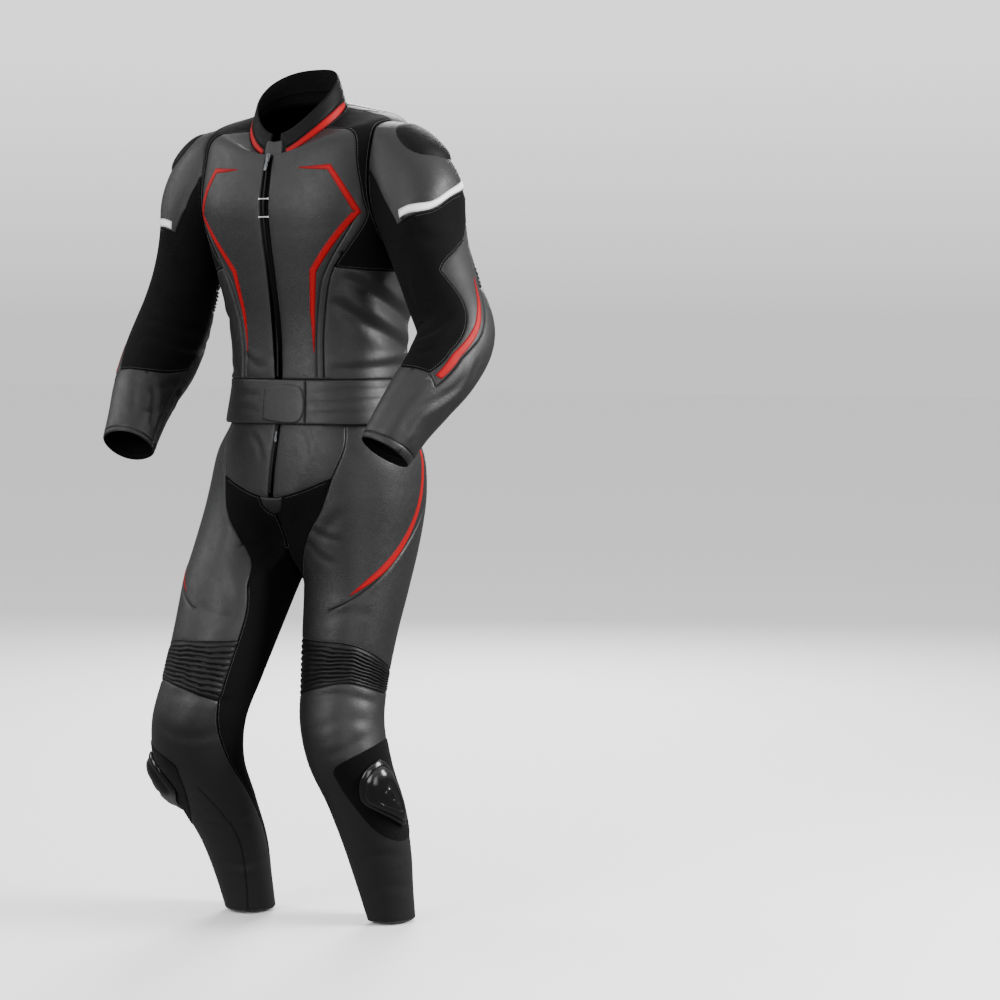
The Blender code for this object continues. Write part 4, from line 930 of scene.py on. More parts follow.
def shares(colour, low, high):
    """The two ends of a mix: a colour made darker and lighter."""
    return {end: tuple(min(1.0, share * c) for c in colour[:3]) + (1.0,)
            for end, share in ((6, low), (7, high))}


def painted_seam_shade(tree, shade, darkest, reach):
    """Painted shade in the seams: a tone that darkens close to them."""
    seam = add(tree, "ShaderNodeAttribute", {"attribute_name": "edge"})
    near = add(tree, "ShaderNodeMapRange", {"From Min": 0.0004, "From Max": reach, "To Min": darkest},
               {"Value": seam.outputs["Fac"]})
    return add(tree, "ShaderNodeMix", {"data_type": "RGBA", "blend_type": "MULTIPLY", 0: 1.0},
               {6: shade.outputs[2], 7: near.outputs["Result"]}).outputs[2]


def cowhide(tree, at, colour, rough, grain, shine):
    """Pigmented cowhide, drum-dyed, grain side out: a satin sheen that breaks up over a fine pebble."""
    # The hide's own tone drifts over a hand's width
    tone = add(tree, "ShaderNodeTexNoise", {"Scale": 13.0, "Detail": 4.0, "Roughness": 0.6}, {"Vector": at})
    shade = add(tree, "ShaderNodeMix", {"data_type": "RGBA", **shares(colour, 0.88, 1.1)},
                {0: tone.outputs["Fac"]})
    # Grain pebbles of 0.9 mm, drawn at 1.7 mm so that they show, pores 3 mm apart and slack wrinkles of 8 mm
    pebble = add(tree, "ShaderNodeTexVoronoi", {"feature": "SMOOTH_F1", "Scale": 1 / 0.0017,
                                                "Smoothness": 0.6}, {"Vector": at})
    pore = add(tree, "ShaderNodeTexNoise", {"Scale": 1 / 0.0030, "Detail": 3.0, "Roughness": 0.62},
               {"Vector": at})
    slack = add(tree, "ShaderNodeTexNoise", {"Scale": 1 / 0.012, "Detail": 2.0, "Distortion": 0.6},
                {"Vector": at})
    relief = {}
    for height, strength, deep in ((pebble.outputs["Distance"], grain, 0.0005),
                                   (pore.outputs["Fac"], 0.22, 0.0008), (slack.outputs["Fac"], 0.10, 0.0030)):
        bump = add(tree, "ShaderNodeBump", {"Strength": strength, "Distance": deep},
                   {"Height": height, **relief})
        relief = {"Normal": bump.outputs["Normal"]}
    gloss = add(tree, "ShaderNodeMapRange", {"From Min": 0.3, "From Max": 0.7, "To Min": rough - 0.04,
                                             "To Max": rough + 0.06}, {"Value": slack.outputs["Fac"]})
    # The base colour darkens close to the seams: painted shade
    return {"Base Color": painted_seam_shade(tree, shade, 0.42, 0.0034), "Roughness": gloss.outputs["Result"],
            "Specular IOR Level": shine, **relief}


def knit(tree, at, colour, pitch, rough):
    """Elastic rib knit, and woven tape: matt, with fine courses across and a faint bloom at grazing light."""
    # Courses and their loops, drawn at twice their real pitch so that they show. A wave texture of scale 1
    # has bands 0.314 m apart.
    course = add(tree, "ShaderNodeTexWave", {"wave_type": "BANDS", "bands_direction": "Z",
                                             "Scale": 0.314 / pitch, "Distortion": 0.6, "Detail": 1.0,
                                             "Detail Scale": 1.5}, {"Vector": at})
    loops = add(tree, "ShaderNodeTexVoronoi", {"Scale": 0.7 / pitch}, {"Vector": at})
    mixed = add(tree, "ShaderNodeMix", {"data_type": "FLOAT", 0: 0.35},
                {2: course.outputs["Fac"], 3: loops.outputs["Distance"]})
    bump = add(tree, "ShaderNodeBump", {"Strength": 0.5, "Distance": 0.0007}, {"Height": mixed.outputs[0]})
    tone = add(tree, "ShaderNodeTexNoise", {"Scale": 22.0, "Detail": 3.0}, {"Vector": at})
    shade = add(tree, "ShaderNodeMix", {"data_type": "RGBA", **shares(colour, 0.6, 1.5)},
                {0: tone.outputs["Fac"]})
    # The base colour darkens close to the seams: painted shade
    return {"Base Color": painted_seam_shade(tree, shade, 0.4, 0.003), "Normal": bump.outputs["Normal"],
            "Roughness": rough, "Specular IOR Level": 0.08, "Sheen Weight": 0.01}


def pile(tree, at, colour):
    """Hook-and-loop tape, loop side: a matt, fuzzy pile with no highlight."""
    # Loops of 0.8 mm, drawn at 1.6 mm so that they show
    fuzz = add(tree, "ShaderNodeTexNoise", {"Scale": 1 / 0.0016, "Detail": 4.0, "Roughness": 0.75},
               {"Vector": at})
    bump = add(tree, "ShaderNodeBump", {"Strength": 0.9, "Distance": 0.0012}, {"Height": fuzz.outputs["Fac"]})
    # Tone that wanders over the loops, darker where the bump is lower: partly random tone, partly painted
    # shade in the pile's hollows
    shade = add(tree, "ShaderNodeMix", {"data_type": "RGBA", **shares(colour, 0.4, 2.0)},
                {0: fuzz.outputs["Fac"]})
    return {"Base Color": shade.outputs[2], "Normal": bump.outputs["Normal"], "Roughness": 0.95,
            "Specular IOR Level": 0.05, "Sheen Weight": 0.05}


def moulded(tree, at, colour, rough):
    """Injection-moulded polyamide, polished: a hard black gloss with faint scuffs."""
    scuff = add(tree, "ShaderNodeTexNoise", {"Scale": 60.0, "Detail": 6.0, "Roughness": 0.7,
                                             "Distortion": 0.4}, {"Vector": at})
    gloss = add(tree, "ShaderNodeMapRange", {"From Min": 0.35, "From Max": 0.75, "To Min": rough,
                                             "To Max": rough + 0.16}, {"Value": scuff.outputs["Fac"]})
    flow = add(tree, "ShaderNodeBump", {"Strength": 0.05, "Distance": 0.001},
               {"Height": scuff.outputs["Fac"]})
    return {"Base Color": colour, "Normal": flow.outputs["Normal"], "Roughness": gloss.outputs["Result"],
            "IOR": 1.53}


def plated(tree, at, colour, rough):
    """Plated metal, die-cast or stamped: a soft grey metal shine, uneven over 2.5 mm where it was tumbled."""
    wear = add(tree, "ShaderNodeTexNoise", {"Scale": 1 / 0.0025, "Detail": 3.0}, {"Vector": at})
    gloss = add(tree, "ShaderNodeMapRange", {"To Min": rough - 0.08, "To Max": rough + 0.12},
                {"Value": wear.outputs["Fac"]})
    return {"Base Color": colour, "Metallic": 1.0, "Roughness": gloss.outputs["Result"]}


def mesh_lining(tree, at, colour):
    """Knitted polyester lining: dark, matt, with small open holes."""
    # Holes of 2 mm, 3.5 mm apart, with painted shade in them
    holes = add(tree, "ShaderNodeTexVoronoi", {"Scale": 1 / 0.0035}, {"Vector": at})
    # Darker towards the middle of each hole: painted shade
    depth = add(tree, "ShaderNodeMapRange", {"From Min": 0.15, "From Max": 0.45, "To Min": 0.35},
                {"Value": holes.outputs["Distance"]})
    shade = add(tree, "ShaderNodeMix", {"data_type": "RGBA", "blend_type": "MULTIPLY", 0: 1.0, 6: colour},
                {7: depth.outputs["Result"]})
    bump = add(tree, "ShaderNodeBump", {"Strength": 0.6, "Distance": 0.0008},
               {"Height": holes.outputs["Distance"]})
    return {"Base Color": shade.outputs[2], "Normal": bump.outputs["Normal"], "Roughness": 0.9,
            "Specular IOR Level": 0.1}


def mottled(tree, at, colour, scale, detail, darkest, lightest, rough):
    """A matt surface whose tone wanders: the dull twist of a thread, or emulsion on a floor."""
    tone = add(tree, "ShaderNodeTexNoise", {"Scale": scale, "Detail": detail}, {"Vector": at})
    shade = add(tree, "ShaderNodeMix", {"data_type": "RGBA", **shares(colour, darkest, lightest)},
                {0: tone.outputs["Fac"]})
    return {"Base Color": shade.outputs[2], "Roughness": rough}


# Name, what makes it, its colour or the suit's colour that it takes, the share of that, the maker's numbers
MATERIALS = {
    "cowhide": ("grey pigmented cowhide", cowhide, "leather", 1.0, (0.49, 0.35, 0.36)),
    # The ribbed pieces take the grey cowhide at 0.42 of its colour: painted shade of their gathered ribs
    "gathered": ("gathered pigmented cowhide", cowhide, "leather", 0.42, (0.50, 0.30, 0.22)),
    "black hide": ("black matt cowhide", cowhide, "leather", 0.25, (0.60, 0.40, 0.12)),
    "red hide": ("red pigmented cowhide", cowhide, "red", 1.0, (0.50, 0.20, 0.12)),
    "white hide": ("white coated cowhide", cowhide, "white", 1.0, (0.40, 0.15, 0.30)),
    "knit": ("elastic rib knit", knit, "stretch", 1.0, (0.0024, 0.85)),
    "tape": ("woven polyester zip tape", knit, "stretch", 1.0, (0.0014, 0.80)),
    "lining": ("knitted polyester mesh", mesh_lining, "#0a0a0b", 1.0, ()),
    "pile": ("hook-and-loop pile", pile, "#070707", 1.0, ()),
    "slider": ("moulded polished polyamide", moulded, "#060607", 1.0, (0.16,)),
    "gunmetal": ("gunmetal-plated cast zinc", plated, "#6f7174", 1.0, (0.30,)),
    "teeth": ("black oxidised stamped brass", plated, "#3c3c3e", 1.0, (0.36,)),
    "thread": ("bonded polyester thread", mottled, "thread", 1.0, (900.0, 2.0, 0.7, 1.3, 0.6)),
    "pale thread": ("pale polyester thread", mottled, "#c8c8ca", 1.0, (900.0, 2.0, 0.7, 1.3, 0.6)),
    "floor": ("matt emulsion paint", mottled, "#f4f4f4", 1.0, (3.0, 3.0, 0.985, 1.0, 0.9)),
}


def material(key):
    """A material of the table, made once."""
    name, maker, colour, share, numbers = MATERIALS[key]
    if name in bpy.data.materials:
        return bpy.data.materials[name]
    look = bpy.context.scene.race_suit_look
    tint = linear(colour)[:3] if colour.startswith("#") else getattr(look, colour)
    made = bpy.data.materials.new(name)
    made.use_nodes = True
    tree = made.node_tree
    at = add(tree, "ShaderNodeTexCoord").outputs["Object"]
    sockets = tree.nodes["Principled BSDF"].inputs
    for socket, value in maker(tree, at, tuple(share * c for c in tint) + (1.0,), *numbers).items():
        if isinstance(value, bpy.types.NodeSocket):
            tree.links.new(value, sockets[socket])
        else:
            sockets[socket].default_value = value
    return made


def span(first, last, along, step=2.0):
    """Straight run round a form at one height."""
    count = max(2, math.ceil(abs(last - first) / step) + 1)
    return np.stack([np.linspace(first, last, count), np.full(count, along)], axis=1)


def body_cuts():
    """Outlines of the jacket's body pieces, by node."""
    hole = lambda a, b: np.stack(armhole(np.linspace(a, b, 60)), axis=1)
    tables = {name: [tuple(map(float, p)) for p in table] for name, table in BODY_SEAMS.items()}
    tables["under"][-1] = tuple(hole(210, 210)[0])
    tables["shoulder"][-1] = tuple(hole(-15, -15)[0])
    seams = {name: trace(table) for name, table in tables.items()}
    zip_edge = np.array([(ZIP_HALF, v) for v in np.linspace(BAND, NECK, 90)])
    cuts = {}
    for side in ("left", "right"):
        turn = np.array if side == "left" else mirrored
        line = {name: turn(seam) for name, seam in seams.items()}
        neck = lambda a, b: turn(span(a, b, NECK))
        hem = lambda a, b: turn(span(a, b, BAND))
        cuts[f"front_{side}"] = loop(turn(zip_edge), neck(ZIP_HALF, 68), line["front_high"],
                                     line["front_low"], hem(38, ZIP_HALF))
        cuts[f"yoke_{side}"] = loop(line["front_high"], neck(68, 108), line["shoulder"], turn(hole(-15, 210)),
                                    line["under"])
        cuts[f"side_{side}"] = loop(line["front_low"], line["under"], turn(hole(210, 345)), line["shoulder"],
                                    neck(108, 122), line["side"], line["back_low"], hem(112, 38))
        cuts[f"back_side_{side}"] = loop(line["side"], neck(122, 150), line["back_top"], line["back_high"])
    far = {name: mirrored(seam) for name, seam in seams.items()}
    cuts["back_upper"] = loop(seams["back_top"], span(150, 210, NECK), far["back_top"], far["back_point"],
                              seams["back_point"])
    cuts["back_centre"] = loop(seams["back_low"], seams["back_high"], seams["back_point"], far["back_point"],
                               far["back_high"], far["back_low"], span(248, 112, BAND))
    cuts["hem_band"] = loop(span(BAND_GAP, 360 + BAND_GAP, BAND),
                            [(360 + BAND_GAP, v) for v in np.linspace(BAND, 0.0, 12)],
                            span(360 + BAND_GAP, BAND_GAP, 0.0),
                            [(BAND_GAP, v) for v in np.linspace(0.0, BAND, 12)])
    cuts["front_zip"] = loop(zip_edge, zip_edge[::-1] * (-1, 1), zip_edge[:1])
    return cuts


def sleeve_cuts(side):
    """Outlines of one sleeve's pieces, by node."""
    line = {name: trace(table, f"sleeve_{side}") for name, table in SLEEVE_SEAMS.items()}
    for name in "abcd":
        line["far_" + name] = line["seam_" + name] + (360, 0)
    return {
        "upper_sleeve": loop(span(-160, 74, 0.0, 4.0), line["cap_front"], line["cap_low"], line["cap_back"],
                             line["outer_back"], line["low_a"], line["elbow_top"], line["seam_a"]),
        "arm_stretch": loop(line["far_a"], line["far_b"], line["far_c"], line["stretch_low"],
                            line["outer_top"], line["cap_back"], line["cap_low"], line["cap_front"],
                            span(74, 200, 0.0, 4.0)),
        "outer_sleeve": loop(line["outer_top"], line["outer_end"], line["low_c"], line["low_b"],
                             line["low_a"], line["outer_back"]),
        "elbow_accordion": loop(line["elbow_top"], line["low_b"], line["elbow_low"], line["seam_b"]),
        "forearm": loop(line["elbow_low"], line["low_c"], line["outer_end"], line["stretch_low"],
                        line["far_d"], span(200, -160, CUFF, 4.0), line["seam_d"], line["seam_c"]),
    }


def leg_lines(side):
    """Seams of one leg."""
    return {name: trace(table, f"leg_{side}") for name, table in LEG_SEAMS.items()}


def leg_cuts(line):
    """Outlines of one leg's pieces, by node."""
    far = lambda name: line[name] + (360, 0)
    corner = [line["gusset_top"][-1], line["fly"][-1]]
    return {
        "hip_front": loop(span(FRONT_CENTRE + FLY_HALF, 33, WAIST, 4.0), line["hip_side"], line["hip_low"],
                          line["gusset_top"], corner, line["fly"]),
        "thigh": loop(span(33, 122, WAIST, 4.0), line["yoke_edge"], line["thigh_back"], line["knee_up"],
                      line["knee_top"], line["thigh_front"], line["hip_side"]),
        "seat": loop(line["yoke_low"], line["back_centre"], line["seat_low"], line["thigh_back"]),
        "leg_stretch": loop(far("hip_low"), far("gusset"), far("front_centre"), span(310, 230, CROTCH, 4.0),
                            line["seat_low"], line["knee_up"], line["knee_out"], line["shin_back"],
                            span(128, 236, HEM, 4.0), far("shin_in"), far("knee_in"), far("thigh_front")),
        "knee_accordion": loop(line["knee_top"], line["knee_out"], line["knee_low"], line["knee_in"]),
        "shin": loop(line["knee_low"], line["shin_back"], span(128, -124, HEM, 4.0), line["shin_in"]),
    }


def middle_cuts(line):
    """Outlines of the pieces across the front and back centre of the trousers, by node."""
    turn = lambda points: np.stack([(points[:, 0] - FRONT_CENTRE) * 180 / (BACK_CENTRE - FRONT_CENTRE),
                                    points[:, 1]], axis=1)
    edge = turn(line["fly"])
    down = turn(line["gusset"])
    half = np.vstack([edge[-1:], turn(line["gusset_top"])[::-1], down[1:]])
    other = (half * (-1, 1))[::-1]
    side, low = turn(line["yoke_edge"]), turn(line["yoke_low"])
    return {
        "fly_zip": loop(edge, edge[::-1] * (-1, 1), edge[:1]),
        "gusset": loop(half, other, [other[-1], half[0]]),
        "back_yoke": loop(span(side[0, 0], 360 - side[0, 0], WAIST), mirrored(side), mirrored(low), low,
                          side),
    }


def cloth(node):
    """What a piece is cut from: its material and its slot."""
    if node.endswith("_zip"):
        return "tape", "zip_tape"
    if node.startswith(("yoke", "arm_stretch", "leg_stretch")):
        return "knit", "stretch_cloth"
    return "cowhide", "grained_leather"


def sew_ribbed(node, chart, outline, top, low, count, height, across):
    """A ribbed piece, cut longer than it shows and gathered to its seams: rounded ribs between two lines,
    with grooves between them, that die away at the rim. across is degrees between points."""
    top, low = np.array(top, float), np.array(low, float)
    points = count * RIB_POINTS

    def ends(around):
        first = np.interp(around, top[:, 0], top[:, 1])
        return first, np.interp(around, low[:, 0], low[:, 1]) - first

    def straight(places):
        first, drop = ends(places[:, 0])
        return np.stack([places[:, 0] / across, (places[:, 1] - first) / drop * points], axis=1)

    def bent(spots):
        first, drop = ends(spots[:, 0] * across)
        return np.stack([spots[:, 0] * across, first + drop * spots[:, 1] / points], axis=1)

    def rounded(places, edge):
        first, drop = ends(places[:, 0])
        t = (places[:, 1] - first) / np.where(np.abs(drop) < 1e-6, 1.0, drop)
        wander = 0.10 * np.sin(places[:, 0] * 0.13 + 9 * t) + 0.06 * np.sin(places[:, 0] * 0.31)
        wave = np.abs(np.sin(np.pi * (t * count + wander)))**0.62
        return (wave - 0.62) * height * fade(edge, 0.006)

    rows = []
    for k in range(1, points):
        u = np.arange(outline[:, 0].min() + (k % 2) * across / 2, outline[:, 0].max(), across)
        first, drop = ends(u)
        rows.append(np.stack([u, first + drop * (k / points)], axis=1))
    # Its cowhide is the darkened copy: painted shade of the ribs
    return sew(node, chart, outline, "gathered", "ribbed_leather", shape=rounded, columns=np.vstack(rows),
               level=(straight, bent), edge_roll=GATHERED)


class SuitSizes(bpy.types.PropertyGroup):
    """Sizes of the sewing."""
    stitch: FloatProperty(name="Stitch length", description="Length of one topstitch", default=0.0034,
                          min=0.002, unit="LENGTH")
    inset: FloatProperty(name="Stitch inset", description="From a seam to its row of stitches",
                         default=0.0026, min=0.001, unit="LENGTH")
    knee_ribs: IntProperty(name="Knee ribs", description="Ribs above each knee", default=10, min=3)
    elbow_ribs: IntProperty(name="Elbow ribs", description="Ribs at each elbow", default=6, min=3)
    yoke_ribs: IntProperty(name="Back ribs", description="Ribs of the lower back", default=14, min=5)


class SuitLook(bpy.types.PropertyGroup):
    """Colours of the suit."""
    leather: FloatVectorProperty(name="Leather", description="Grey cowhide", subtype="COLOR",
                                 default=linear("#1b1b1c")[:3], min=0, max=1)
    stretch: FloatVectorProperty(name="Stretch cloth", description="Black knit panels", subtype="COLOR",
                                 default=linear("#070707")[:3], min=0, max=1)
    red: FloatVectorProperty(name="Red inlay", description="Inlaid stripes", subtype="COLOR",
                             default=linear("#98060f")[:3], min=0, max=1)
    white: FloatVectorProperty(name="White inlay", description="Stripes of the sleeves", subtype="COLOR",
                               default=linear("#f0f0f0")[:3], min=0, max=1)
    thread: FloatVectorProperty(name="Thread", description="Topstitching", subtype="COLOR",
                                default=linear("#38383a")[:3], min=0, max=1)


def skin(rings, around, capped=True):
    """Faces over rings of points, the first ring closed, and the last if it is capped."""
    starts = [(n * around + k, n * around + (k + 1) % around)
              for n in range(rings - 1) for k in range(around)]
    faces = [(a, b, b + around, a + around) for a, b in starts] + [tuple(range(around))[::-1]]
    return faces + ([tuple(range((rings - 1) * around, rings * around))] if capped else [])


def blocks(corners, cells):
    """Many small bodies of the same faces: for each corner, its point on every body."""
    faces = [tuple(len(corners) * n + k for k in cell) for n in range(len(corners[0])) for cell in cells]
    return np.stack(corners, axis=1).reshape(-1, 3), faces


def bead(points, normals, wide, high):
    """A rounded bead along a line: half its width across, half its height along the normals."""
    across = unit(np.cross(np.gradient(points, axis=0), normals))
    rings = [points + normals * math.cos(turn) * high + across * math.sin(turn) * wide
             for turn in np.radians(np.arange(0, 360, 45))]
    return np.stack(rings, axis=1).reshape(-1, 3), skin(len(points), len(rings))


class SUIT_OT_jacket_body(bpy.types.Operator):
    """Sews the front, yokes, sides, back and hem band of the jacket"""
    bl_idname = "suit.jacket_body"
    bl_label = "Jacket body"

    def execute(self, context):
        for node, outline in body_cuts().items():
            sew(node, "torso", outline, *cloth(node))
        return {"FINISHED"}


class SUIT_OT_collar(bpy.types.Operator):
    """Sews the stand collar and its closing tab"""
    bl_idname = "suit.collar"
    bl_label = "Collar"

    def execute(self, context):
        rise = [(COLLAR_EDGE, w) for w in np.linspace(0, 1, 10)]
        seam = span(COLLAR_EDGE, 360 - COLLAR_EDGE, 0.0, 4.0)
        outline = loop(seam, [(360 - u, w) for u, w in rise],
                       span(360 - COLLAR_EDGE, COLLAR_EDGE, 1.0, 4.0), rise[::-1])
        sew("collar", "collar", outline, "black hide", "grained_leather", spacing=0.005)
        sew("collar_tab", "collar", closed(COLLAR_TAB, "collar"), "cowhide", "grained_leather", lift=0.0006,
            thick=0.002, edge_roll=TURNED, lining="cowhide")
        points, normals = surface("collar", seam)
        _, under = surface("torso", np.stack([seam[:, 0], np.full(len(seam), NECK - 0.002)], axis=1))
        inward = -unit(normals + under)
        plain("neck_binding", *bead(points + inward * 0.0026, inward, 0.0042, 0.0016), "tape", "zip_tape")
        return {"FINISHED"}


class SUIT_OT_sleeves(bpy.types.Operator):
    """Sews both sleeves"""
    bl_idname = "suit.sleeves"
    bl_label = "Sleeves"

    def execute(self, context):
        sizes = context.scene.race_suit_sizes
        for side in ("left", "right"):
            for part, outline in sleeve_cuts(side).items():
                if part == "elbow_accordion":
                    sew_ribbed(f"{part}_{side}", f"sleeve_{side}", outline, SLEEVE_SEAMS["elbow_top"],
                               SLEEVE_SEAMS["elbow_low"], sizes.elbow_ribs, 0.0034, 5.0)
                else:
                    sew(f"{part}_{side}", f"sleeve_{side}", outline, *cloth(part))
        return {"FINISHED"}


class SUIT_OT_trousers(bpy.types.Operator):
    """Sews the legs, the fly, the gusset and the ribbed lower back"""
    bl_idname = "suit.trousers"
    bl_label = "Trousers"

    def execute(self, context):
        sizes = context.scene.race_suit_sizes
        for side in ("left", "right"):
            line = leg_lines(side)
            for part, outline in leg_cuts(line).items():
                if part == "knee_accordion":
                    sew_ribbed(f"{part}_{side}", f"leg_{side}", outline, LEG_SEAMS["knee_top"],
                               LEG_SEAMS["knee_low"], sizes.knee_ribs, 0.0040, 5.0)
                else:
                    sew(f"{part}_{side}", f"leg_{side}", outline, *cloth(part))
        for node, outline in middle_cuts(line).items():
            if node == "back_yoke":
                sew_ribbed(node, "hips", outline, ((100, WAIST), (260, WAIST)),
                           ((100, -0.586), (260, -0.586)), sizes.yoke_ribs, 0.0026, 2.5)
            else:
                sew(node, "hips", outline, *cloth(node))
        return {"FINISHED"}


def sew_stripe(node, side, chart, rows, colour):
    """An inlaid stripe. Where both sides share a form, it is mirrored for the wearer's right."""
    show = RED_SHOWS.get(node, 1.0)
    outline, size = ribbon([(u, v, half * show) for u, v, half in rows], chart, chart == "torso")
    if chart in ("torso", "collar") and side == "right":
        outline = mirrored(outline)
    sew(f"{node}_{side}", chart, outline, f"{colour} hide", f"{colour}_leather", size=size,
        lining=f"{colour} hide", stands_for=chart != "collar", **LAID)


class SUIT_OT_inlays(bpy.types.Operator):
    """Sews on the stripes, the padded panels, the waist tab and the knee patches"""
    bl_idname = "suit.inlays"
    bl_label = "Inlays and pads"

    def execute(self, context):
        for side in ("left", "right"):
            arm, limb = f"sleeve_{side}", f"leg_{side}"
            sew_stripe("chest_stripe", side, "torso", CHEST_STRIPE, "red")
            sew_stripe("back_stripe", side, "torso", BACK_STRIPE, "red")
            sew_stripe("arm_stripe", side, arm, ARM_STRIPE, "white")
            sew_stripe("forearm_stripe", side, arm, FOREARM_STRIPE, "red")
            sew_stripe("thigh_stripe", side, limb, THIGH_STRIPE, "red")
            sew(f"shoulder_pad_{side}", arm, closed(SHOULDER_PAD, arm), "black hide", "padded_leather",
                **PADDED)
            sew(f"knee_patch_{side}", limb, closed(KNEE_PATCH, limb) + (KNEE_TURN[side], 0), "pile",
                "hook_and_loop", lift=REST, thick=0.0016, edge_roll=INLAID, lining="pile")
            sew_stripe("collar_stripe", side, "collar", COLLAR_STRIPE, "red")
            tab = np.vstack([np.linspace(a, b, 12, endpoint=False) for a, b in
                             zip(np.array(ANKLE_TAB), np.roll(ANKLE_TAB, -1, axis=0))])
            sew(f"ankle_tab_{side}", limb, tab, "cowhide", "grained_leather", lining="cowhide",
                stands_for=False, **LAID | {"lift": 0.0004, "thick": 0.0014})
        sew("lumbar_pad", "torso", closed(LUMBAR_PAD, "torso"), "cowhide", "padded_leather", **PADDED)
        sew("belt_tab", "torso", closed(BELT_TAB, "torso"), "cowhide", "grained_leather", lift=REST,
            thick=0.0018, edge_roll=TURNED, lining="cowhide")
        return {"FINISHED"}


def plain(name, vertices, faces, finish, slot, body="suit", smooth=True):
    """A hard or thread piece from its points and faces."""
    mesh = bpy.data.meshes.new(name)
    mesh.from_pydata([tuple(v) for v in vertices], [], [tuple(f) for f in faces])
    if smooth:
        mesh.shade_smooth()
        mesh.set_sharp_from_angle(angle=math.radians(40))
    mesh.materials.append(material(finish))
    piece = bpy.data.objects.new(name, mesh)
    bpy.context.scene.collection.objects.link(piece)
    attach(piece, body)
    return piece


class SUIT_OT_knee_sliders(bpy.types.Operator):
    """Moulds the glossy pucks on the knee patches"""
    bl_idname = "suit.knee_sliders"
    bl_label = "Knee sliders"

    def execute(self, context):
        for side in ("left", "right"):
            chart = f"leg_{side}"
            outline = closed(KNEE_PUCK, chart, 0.004) + (KNEE_TURN[side], 0)
            centre = np.array(PUCK_CENTRE, float) + (KNEE_TURN[side], 0)
            stiff = surface(chart, centre[None])[1][0]
            rings = []
            for scale, height in PUCK_PROFILE:
                points, normals = surface(chart, centre + (outline - centre) * scale)
                rings.append(points + unit(0.5 * normals + 0.5 * stiff) * (2 * REST + PATCH + height))
            faces = skin(len(rings), len(outline), capped=False)
            if CHARTS[chart][2] < 0:
                faces = [f[::-1] for f in faces]
            piece = plain(f"knee_slider_{side}_puck", np.vstack(rings), faces, "slider", "slider_plastic")
            work = bmesh.new()
            work.from_mesh(piece.data)
            bmesh.ops.remove_doubles(work, verts=work.verts, dist=0.00005)
            bmesh.ops.recalc_face_normals(work, faces=work.faces)
            work.to_mesh(piece.data)
            work.free()
            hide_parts(f"knee_slider_{side}")
        return {"FINISHED"}


def tooth_row(chart, first, last, side):
    """One side of a zip's teeth: small blocks along the tape."""
    points, normals = surface(chart, np.stack([np.zeros(400), np.linspace(first, last, 400)], axis=1))
    length = lengths(np.diff(points, axis=0))
    stops = np.arange(TOOTH_PITCH * (0.5 if side > 0 else 1.0), length[-1], TOOTH_PITCH)
    at, up = at_stops(points, length, stops), at_stops(normals, length, stops)
    ahead = unit(at_stops(points, length, stops + 0.001) - at)
    across = np.cross(ahead, up) * side
    corners = [at + across * (x - 0.0007) + ahead * y * TOOTH_PITCH + up * z for x, y, z in TOOTH]
    return blocks(corners, TOOTH_FACES if side > 0 else [face[::-1] for face in TOOTH_FACES])


def merged(parts):
    """Several sets of points and faces as one."""
    vertices, faces = [], []
    for more, cells in parts:
        base = len(vertices)
        vertices += [tuple(v) for v in more]
        faces += [tuple(base + k for k in cell) for cell in cells]
    return vertices, faces


def plate(outline, thick, frame_at, bevel=0.0003):
    """Thin plate with a bevelled rim: outline in (across, up), standing off along ahead."""
    at, across, ahead, up = frame_at
    outline = np.array(outline, float)
    centre = outline.mean(axis=0)
    size = np.ptp(outline, axis=0)
    small = centre + (outline - centre) * (1 - 2 * bevel / size)
    rings = ((small, 0), (outline, bevel), (outline, thick - bevel), (small, thick))
    vertices = [at + across * x + up * y + ahead * depth for shape, depth in rings for x, y in shape]
    return vertices, skin(len(rings), len(outline))


def hardware_frame(chart, along):
    """Where a slider sits on its tape: point, across, ahead, up."""
    points, _ = surface(chart, np.array([[0.0, along], [0.0, along - 0.020]]))
    up = unit(points[0] - points[1])
    ahead = np.cross((1.0, 0.0, 0.0), up)
    ahead *= np.sign(-ahead[1])
    return points[0], np.cross(ahead, up), ahead, up


